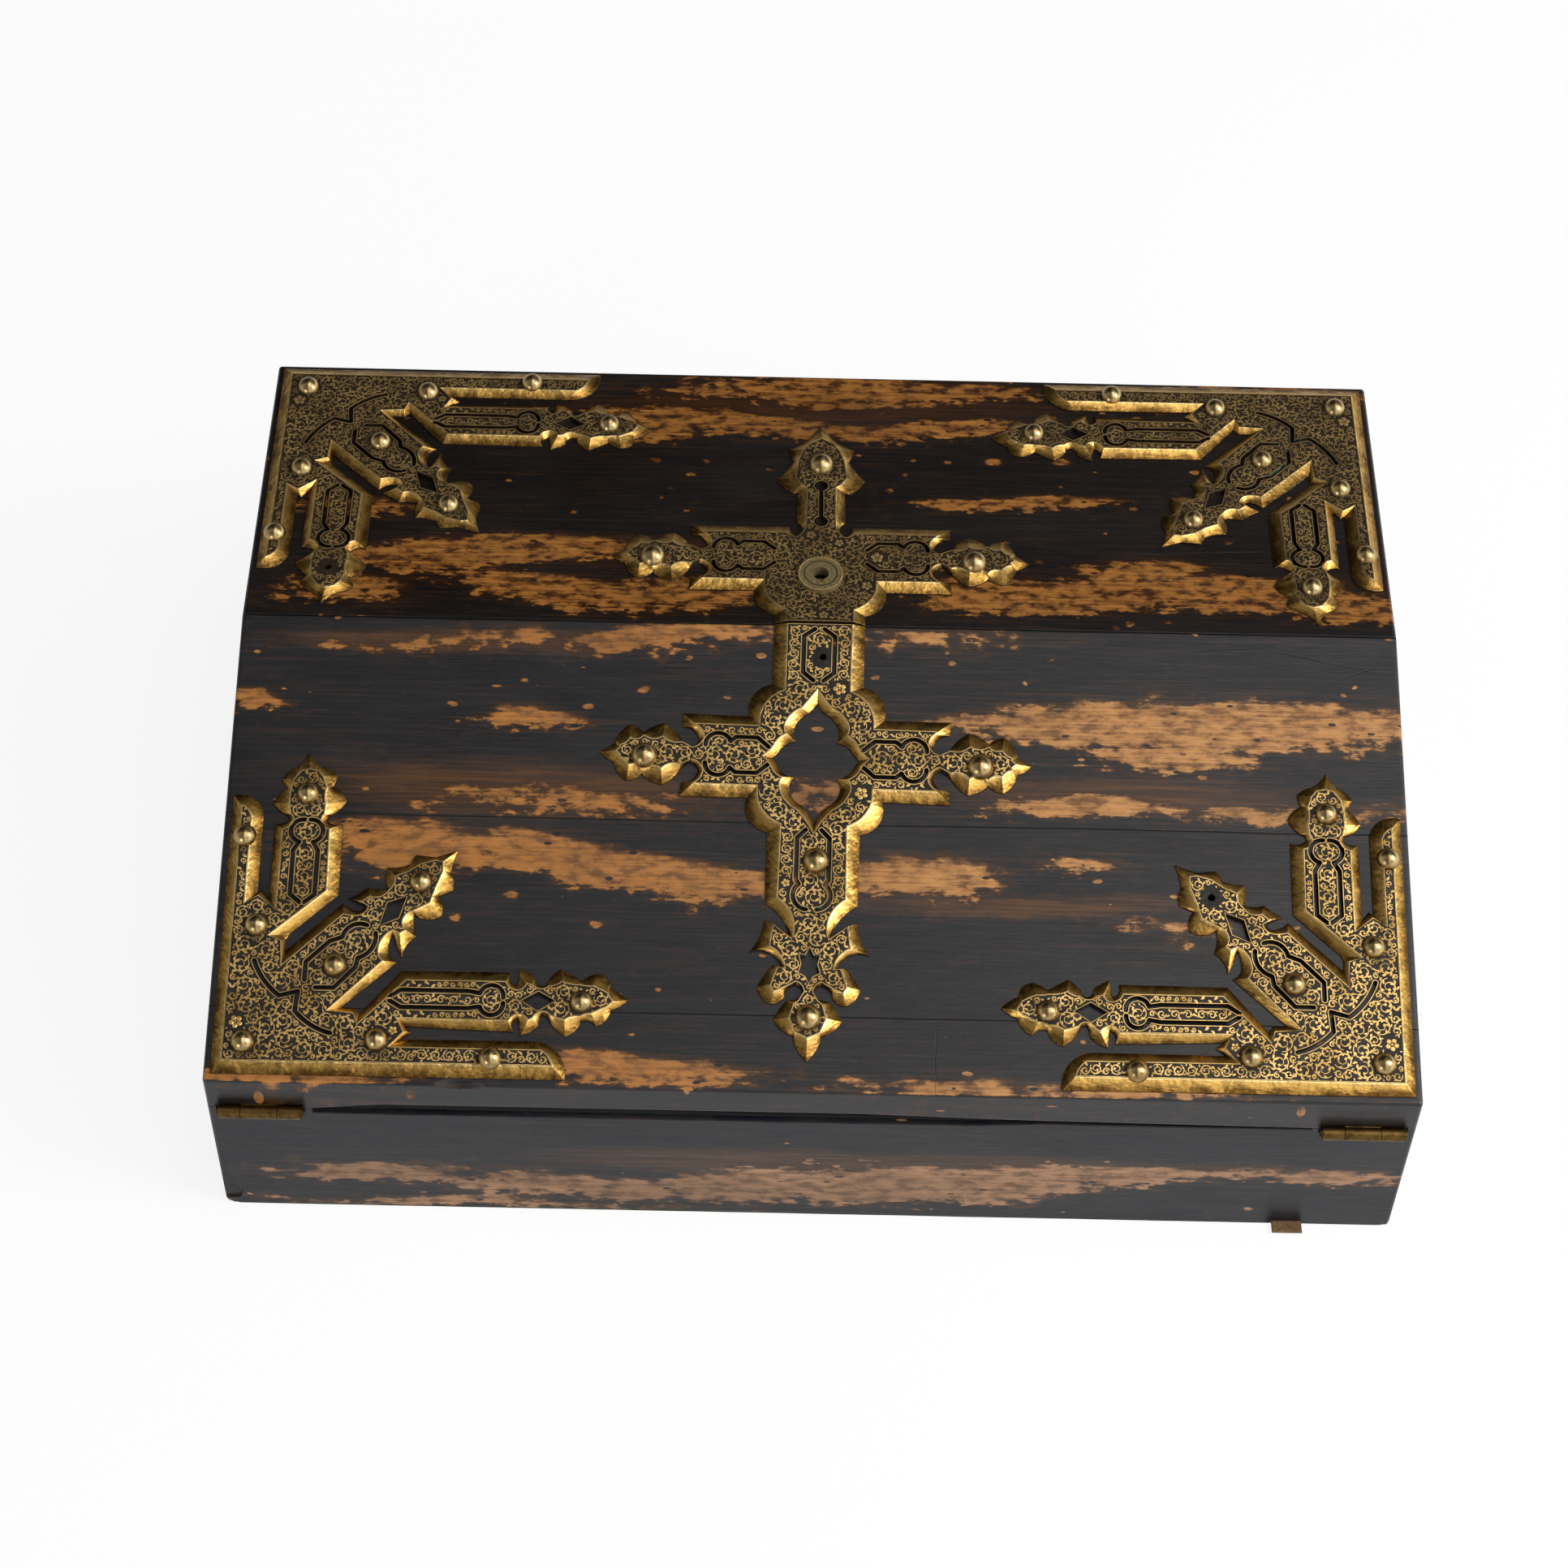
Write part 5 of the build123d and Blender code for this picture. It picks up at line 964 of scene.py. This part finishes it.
STUDS = {face: stud_places(face + "_studs") for face in FACES}
KEYHOLE = sum((Vector(c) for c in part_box("escutcheon")), Vector()) / 2 / MM
MATERIALS = {
    "flap_scroll": scroll_gold("flap", (0.5, 0.3, 0.08), (0.78, 0.51, 0.18), GOLD_BROWN, 0.85),
    "lid_scroll": scroll_gold(
        "lid", (0.15, 0.092, 0.03), (0.26, 0.165, 0.055), (0.06, 0.034, 0.012), 0.35
    ),
    "flap_brass": mount_brass("flap", SOOT, (0.05, 0.035, 0.016)),
    "lid_brass": mount_brass("lid", (0.022, 0.014, 0.007), (0.08, 0.048, 0.018)),
}
paint(coromandel("flap", (85.5, 23.5), ((-104, -4, 9, 6),)), "flap_board")
paint(coromandel("lid", (43.0,)), "lid_board")
paint(coromandel("front", (), ((-178, 10, 6, 8),)), "front_wall")
paint(coromandel("side"), "left_wall", "right_wall")
paint(coromandel("back"), "back_wall")
mahogany = plain_wood("mahogany", (0.09, 0.028, 0.012), (0.2, 0.07, 0.03))
upright_mahogany = plain_wood("mahogany_cheek", (0.08, 0.025, 0.011), (0.18, 0.062, 0.027), 1)
paint(mahogany, "bottom_board", "pen_stand", *[f"rack_divider_{i}" for i in range(1, 5)])
paint(upright_mahogany, "rack_left_cheek", "rack_right_cheek")
for board in ("flap", "lid"):
    for part in ("left", "right", "cross"):
        paint(MATERIALS[board + "_brass"], f"{board}_{part}_mount")
dome_brass = plain_brass("dome_brass", (0.4, 0.29, 0.13), (0.2, 0.125, 0.045), 0.2, 0.32, 0.04)
paint(dome_brass, "flap_studs", "lid_studs")
hinge_brass = plain_brass("hinge_brass", (0.12, 0.07, 0.02), (0.02, 0.013, 0.007), 0.3, 0.5)
small_brass = plain_brass("small_brass", (0.6, 0.45, 0.2), (0.3, 0.2, 0.08), 0.25, 0.45)
for name in NODES:
    if name.endswith(("_leaf", "_pin", "_screws")):
        paint(hinge_brass, name)
paint(small_brass, "strike_plate", "lock_case", "lock_cover")
for side in ("left", "right"):
    paint(small_brass, f"inkwell_{side}_collar", f"inkwell_{side}_cap")
paint(escutcheon_brass(), "escutcheon")
paint(plain_brass("bolt_steel", (0.4, 0.39, 0.37), (0.2, 0.19, 0.18), 0.3, 0.5), "lock_bolt")
paint(glass(), "inkwell_left", "inkwell_right")

# The four corner mounts have one engraving, turned over from corner to corner.
corner = engrave("flap_left_mount", "flap", 5)
corner.points = [tuple(p) for p in np.array(corner.points) + (CORNER_X, -MOUNT_INSET, 0)]
for board, along, start in (("flap", 1, MOUNT_INSET), ("lid", -1, LID_DEPTH - MOUNT_INSET)):
    for side, across in (("left", 1), ("right", -1)):
        name = f"{board}_{side}_mount_engraving"
        place_engraving(corner, name, board, (across, along), (-across * CORNER_X, start))
for board, seed in (("flap", 11), ("lid", 23)):
    soup = engrave(board + "_cross_mount", board, seed)
    place_engraving(soup, board + "_cross_mount_engraving", board)

# -------- linings


def softened(node, name, material, body, cell, rounding, relief):
    """Cloth or leather over a CAD slab: rounded arrises and a surface that is never quite flat."""
    work = bmesh.new()
    work.from_mesh(NODES[node].data)
    bmesh.ops.remove_doubles(work, verts=work.verts, dist=0.001 * MM)
    bmesh.ops.dissolve_limit(work, angle_limit=radians(3), verts=work.verts, edges=work.edges)
    sharp = [e for e in work.edges if len(e.link_faces) == 2 and e.calc_face_angle() > radians(40)]
    bmesh.ops.bevel(
        work, geom=sharp, offset=rounding * MM, segments=3, profile=0.5, affect="EDGES",
        clamp_overlap=True,
    )
    low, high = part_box(node)
    for axis in (0, 1):
        normal = Vector((1 - axis, axis, 0))
        for place in np.arange(low[axis] + cell * MM, high[axis] - 0.3 * cell * MM, cell * MM):
            whole = list(work.verts) + list(work.edges) + list(work.faces)
            at = normal * float(place)
            bmesh.ops.bisect_plane(work, geom=whole, plane_co=at, plane_no=normal)
    bmesh.ops.recalc_face_normals(work, faces=work.faces)
    work.normal_update()
    for vertex in work.verts:
        wave = noise.fractal(vertex.co / MM * 0.09, 0.6, 2.0, 3) * 0.5 + 0.5
        vertex.co -= vertex.normal * min(max(wave, 0), 1) * relief * MM
        for axis in range(3):
            vertex.co[axis] = min(max(vertex.co[axis], low[axis]), high[axis])
    mesh = bpy.data.meshes.new(name)
    work.to_mesh(mesh)
    work.free()
    mesh.shade_smooth()
    return dress(mesh, material, body, node)


def spread(marks, cell):
    """Rising places that include every mark, no further apart than a cell."""
    places = []
    for low, high in zip(marks, marks[1:]):
        places += list(np.linspace(low, high, max(2, ceil((high - low) / cell) + 1))[:-1])
    return places + [marks[-1]]


def quilted_lining():
    """Padded silk lining of the lid, quilted in diamonds and cut out round the lock."""
    low, high = (Vector(c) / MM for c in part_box("lid_lining"))
    lock_x, lock_y = LOCK_CUT
    xs = np.array(spread((low.x, -lock_x, lock_x, high.x), 2.2))
    ys = np.array(spread((low.y, lock_y, high.y), 2.2))
    index = {}
    points = []

    def corner(i, j, under):
        key = (i, j, under)
        if key in index:
            return index[key]
        x, y = xs[i], ys[j]
        sides = [x - low.x, high.x - x, high.y - y]
        if y >= lock_y or abs(x) >= lock_x:
            gap_x, gap_y = max(0, abs(x) - lock_x), max(0, y - lock_y)
            sides += [y - low.y if abs(x) >= lock_x else 99, hypot(gap_x, gap_y)]
        edge = max(0, min(sides))
        crown = sqrt(max(0, 1 - (1 - min(edge / ROUND_OVER, 1)) ** 2))
        a = abs(sin(pi * (x / QUILT + y / QUILT)))
        b = abs(sin(pi * (x / QUILT - y / QUILT)))
        puff = 0.42 + 0.58 * min(1, 1.5 * sqrt(a * b))
        depth = (high.z - low.z) * (0.12 + 0.88 * crown * puff)
        index[key] = len(points)
        points.append((x * MM, y * MM, (high.z - depth if under else high.z) * MM))
        return index[key]

    faces = []
    filled = {}
    for i in range(len(xs) - 1):
        for j in range(len(ys) - 1):
            mid_x, mid_y = (xs[i] + xs[i + 1]) / 2, (ys[j] + ys[j + 1]) / 2
            filled[i, j] = not (abs(mid_x) < lock_x and mid_y < lock_y)
    for (i, j), is_filled in filled.items():
        if not is_filled:
            continue
        square = ((i, j), (i + 1, j), (i + 1, j + 1), (i, j + 1))
        faces.append([corner(a, b, False) for a, b in square])
        faces.append([corner(a, b, True) for a, b in reversed(square)])
        beside = ((i, j - 1), (i + 1, j), (i, j + 1), (i - 1, j))
        for k, cell in enumerate(beside):
            if not filled.get(cell, False):
                p, q = square[k], square[(k + 1) % 4]
                wall = ((q, False), (p, False), (p, True), (q, True))
                faces.append([corner(*place, under) for place, under in wall])
    mesh = make_mesh("lid_silk", points, faces)
    mesh.shade_smooth()
    dress(mesh, silk, "lid", "lid_lining")


# The silk's cut-out for the lock, its rounded rim and its diamonds; the writing pad, mm.
LOCK_CUT = (28.0, 54.35)
ROUND_OVER = 4.0
QUILT = 26.0
PAD_THICKNESS = 1.6
PAD_LOW, PAD_HIGH = (-168.0, 13.5), (168.0, 140.2)
TOOLING_HEIGHT = 0.05
TOOLING_SUNK = 0.06


def tooled_border():
    """Gilt double line and corner scrolls pressed round the leather of the writing pad."""
    soup = Soup()
    for inset, width in ((6.0, 0.9), (8.0, 0.4)):
        x0, x1 = PAD_LOW[0] + inset, PAD_HIGH[0] - inset
        y0, y1 = PAD_LOW[1] + inset, PAD_HIGH[1] - inset
        corners = [(x0, y0), (x1, y0), (x1, y1), (x0, y1), (x0, y0)]
        for p, q in zip(corners, corners[1:]):
            soup.ribbon(np.linspace(p, q, 30), [width] * 30, 0, 1)
    rng = random.Random(3)
    for sx, x in ((1, PAD_LOW[0]), (-1, PAD_HIGH[0])):
        for sy, y in ((1, PAD_LOW[1]), (-1, PAD_HIGH[1])):
            for away, radius in ((12.5, 3.0), (18.0, 2.0)):
                for dx, dy, hand in ((away, 12.5, 1), (12.5, away, -1)):
                    entry = atan2(-sy, -sx)
                    volute(soup, x + sx * dx, y + sy * dy, radius, entry, hand * sx * sy, rng)
    p = np.array(soup.points)
    top = (p[:, 2] > 0.5 * (LOW + HIGH)) | (p[:, 2] == 1)
    p[:, 2] = TOOLING_SUNK - PAD_THICKNESS - np.where(top, TOOLING_HEIGHT, 0)
    points = on_plane(p, (0, HINGE_Y, FRONT_HEIGHT), (0, COS, SIN), (0, -SIN, COS))
    mesh = make_mesh("pad_tooling", points, [tuple(reversed(f)) for f in soup.faces])
    return dress(mesh, MATERIALS["flap_scroll"], "flap")


silk = fabric("silk", (0.07, 0.01, 0.02), (0.16, 0.03, 0.05), 1.5, 0.6)
baize = fabric("baize", (0.008, 0.03, 0.015), (0.03, 0.1, 0.05), 4.0)
velvet = fabric("velvet", (0.0006, 0.0006, 0.0007), (0.004, 0.0035, 0.004), 3.0, 0.05, 0.3)
tab = leather("tab_leather", (0.09, 0.045, 0.016), (0.21, 0.115, 0.045), 1.6)
pad_leather = leather("pad_leather", (0.05, 0.006, 0.008), (0.11, 0.015, 0.018))
felt = softened("base_baize", "base_felt", baize, "case", 6.0, 0.3, 0.12)
softened("velvet_strip", "velvet_cover", velvet, "case", 3.0, 0.9, 0.25)
softened("base_tab", "tab_strap", tab, "case", 1.0, 0.25, 0.15)
skiver = softened("writing_pad", "pad_skiver", pad_leather, "flap", 5.0, 0.5, 0.06)
border = tooled_border()
quilted_lining()


# Beading round the keyhole plate: how far in it runs, its beads, and their foot and top above
# the lid.
BEADING_INSET = 0.42
BEADS, BEAD_RADIUS, BEAD_FOOT, BEAD_TOP = 72, 0.3, 3.55, 3.82
beading = Soup()
for x, y in ring(0, KEYHOLE.y - JOIN, ESCUTCHEON_RADIUS - BEADING_INSET, BEADS):
    beading.pad(ring(x, y, BEAD_RADIUS, 6), BEAD_FOOT, BEAD_TOP, 0.45)
mesh = make_mesh("escutcheon_beading", on_plane(beading.points, *FACES["lid"]), beading.faces)
dress(mesh, small_brass, "lid")

# -------- stage, light, camera

# Brightness of the surround along each direction, where 0 is the least and 1 the most of that axis:
# left to right, front to back, and a pale ring round the horizon.
LEFT_TO_RIGHT = (
    (0.0, 0.8), (0.3, 0.5), (0.44, 0.12), (0.5, 0.9), (0.58, 6.0), (0.66, 4.5), (0.8, 1.3), (1.0, 1.0),
)
FRONT_TO_BACK = (
    (0.0, 0.15), (0.2, 0.35), (0.42, 0.6), (0.54, 0.5), (0.62, 0.09), (0.84, 0.02), (1.0, 0.02),
)
HORIZON = ((0.0, 0.5), (0.5, 0.62), (0.6, 0.5), (0.74, 0.0), (1.0, 0.0))
SIDES = ((0.0, 0.9), (0.3, 0.55), (0.5, 0.35), (0.7, 0.9), (0.88, 2.6), (1.0, 3.0))
WORLD_STRENGTH = 1.15
FLOOR_HALF = 4.0
FLOOR_GLOW = 0.86
LAMP_TINT = (1.0, 0.99, 0.97)
LIT = (0, 0, 0.05)


def floor():
    """Pale floor that stays white in the picture and keeps the box's shadow."""
    signs = ((-1, -1), (1, -1), (1, 1), (-1, 1))
    corners = [(x * FLOOR_HALF, y * FLOOR_HALF, 0) for x, y in signs]
    mesh = make_mesh("floor", corners, [(0, 1, 2, 3)])
    s = Shader("floor")
    path = s.node("LightPath").outputs
    seen = s.math("MAXIMUM", path["Is Camera Ray"], path["Is Transmission Ray"])
    diffuse = s.node("BsdfDiffuse", {"Color": (0.9, 0.9, 0.905)}).outputs[0]
    glow = s.node("Emission", {"Color": (1, 1, 1), "Strength": 1.0}).outputs[0]
    s.close(s.node("MixShader", {0: s.product(seen, FLOOR_GLOW), 1: diffuse, 2: glow}))
    mesh.materials.append(s.material)
    put("floor", mesh)


def world():
    """Studio surround: white to the camera, bright in front, dim overhead, dark above the back."""
    bpy.context.scene.world = bpy.data.worlds.new("surround")
    s = Graph(bpy.context.scene.world)
    way = s.parts(s.node("TexCoord").outputs["Generated"])
    levels = [
        s.ramp(s.line(way[axis], 0.5, 0.5), stops)
        for axis, stops in ((0, LEFT_TO_RIGHT), (1, FRONT_TO_BACK), (2, HORIZON), (0, SIDES))
    ]
    low = s.vector("MULTIPLY", levels[2], levels[3])
    total = s.vector("MULTIPLY_ADD", levels[0], levels[1], low)
    light = s.node("Background", {0: total, 1: WORLD_STRENGTH}).outputs[0]
    white = s.node("Background", {0: (1, 1, 1)}).outputs[0]
    seen = s.node("LightPath").outputs["Is Camera Ray"]
    s.close(s.node("MixShader", {0: seen, 1: light, 2: white}), "World")


def softbox(name, place, size, watts):
    """Large soft lamp that faces the box."""
    lamp = bpy.data.lights.new(name, "AREA")
    lamp.size = size
    lamp.energy = watts
    lamp.color = LAMP_TINT
    made = put(name, lamp)
    made.location = place
    made.rotation_euler = (Vector(LIT) - Vector(place)).to_track_quat("-Z", "Y").to_euler()


# Camera axes in the row frame: right, down and forward.
CAMERA_PLACE = (-15.75, -693.06, 917.09)
CAMERA_AXES = (
    (0.99977485, 0.01282545, 0.0169041),
    (0.02058143, -0.77994761, -0.6255063),
    (0.00516191, 0.62571338, -0.78003598),
)
# Focal length and frame width of the photograph in its pixels, and the sensor's width in mm.
FOCAL, FRAME, SENSOR = 4250.33, 1932, 36


def camera():
    """Camera at the photograph's place, height and tilt."""
    right, down, ahead = (Vector(a).normalized() for a in CAMERA_AXES)
    data = bpy.data.cameras.new("camera")
    data.sensor_width = SENSOR
    data.lens = FOCAL / FRAME * SENSOR
    data.clip_start, data.clip_end = 0.05, 30
    made = put("camera", data)
    turn = Matrix((right, -down, -ahead)).transposed()
    made.matrix_world = Matrix.Translation(Vector(CAMERA_PLACE) * MM) @ turn.to_4x4()
    bpy.context.scene.camera = made


floor()
world()
softbox("key", (0.98, -0.35, 0.95), 0.55, 12.0)
softbox("front", (-0.75, -1.25, 0.35), 0.4, 3.0)
camera()
bpy.context.scene.view_settings.view_transform = "Standard"
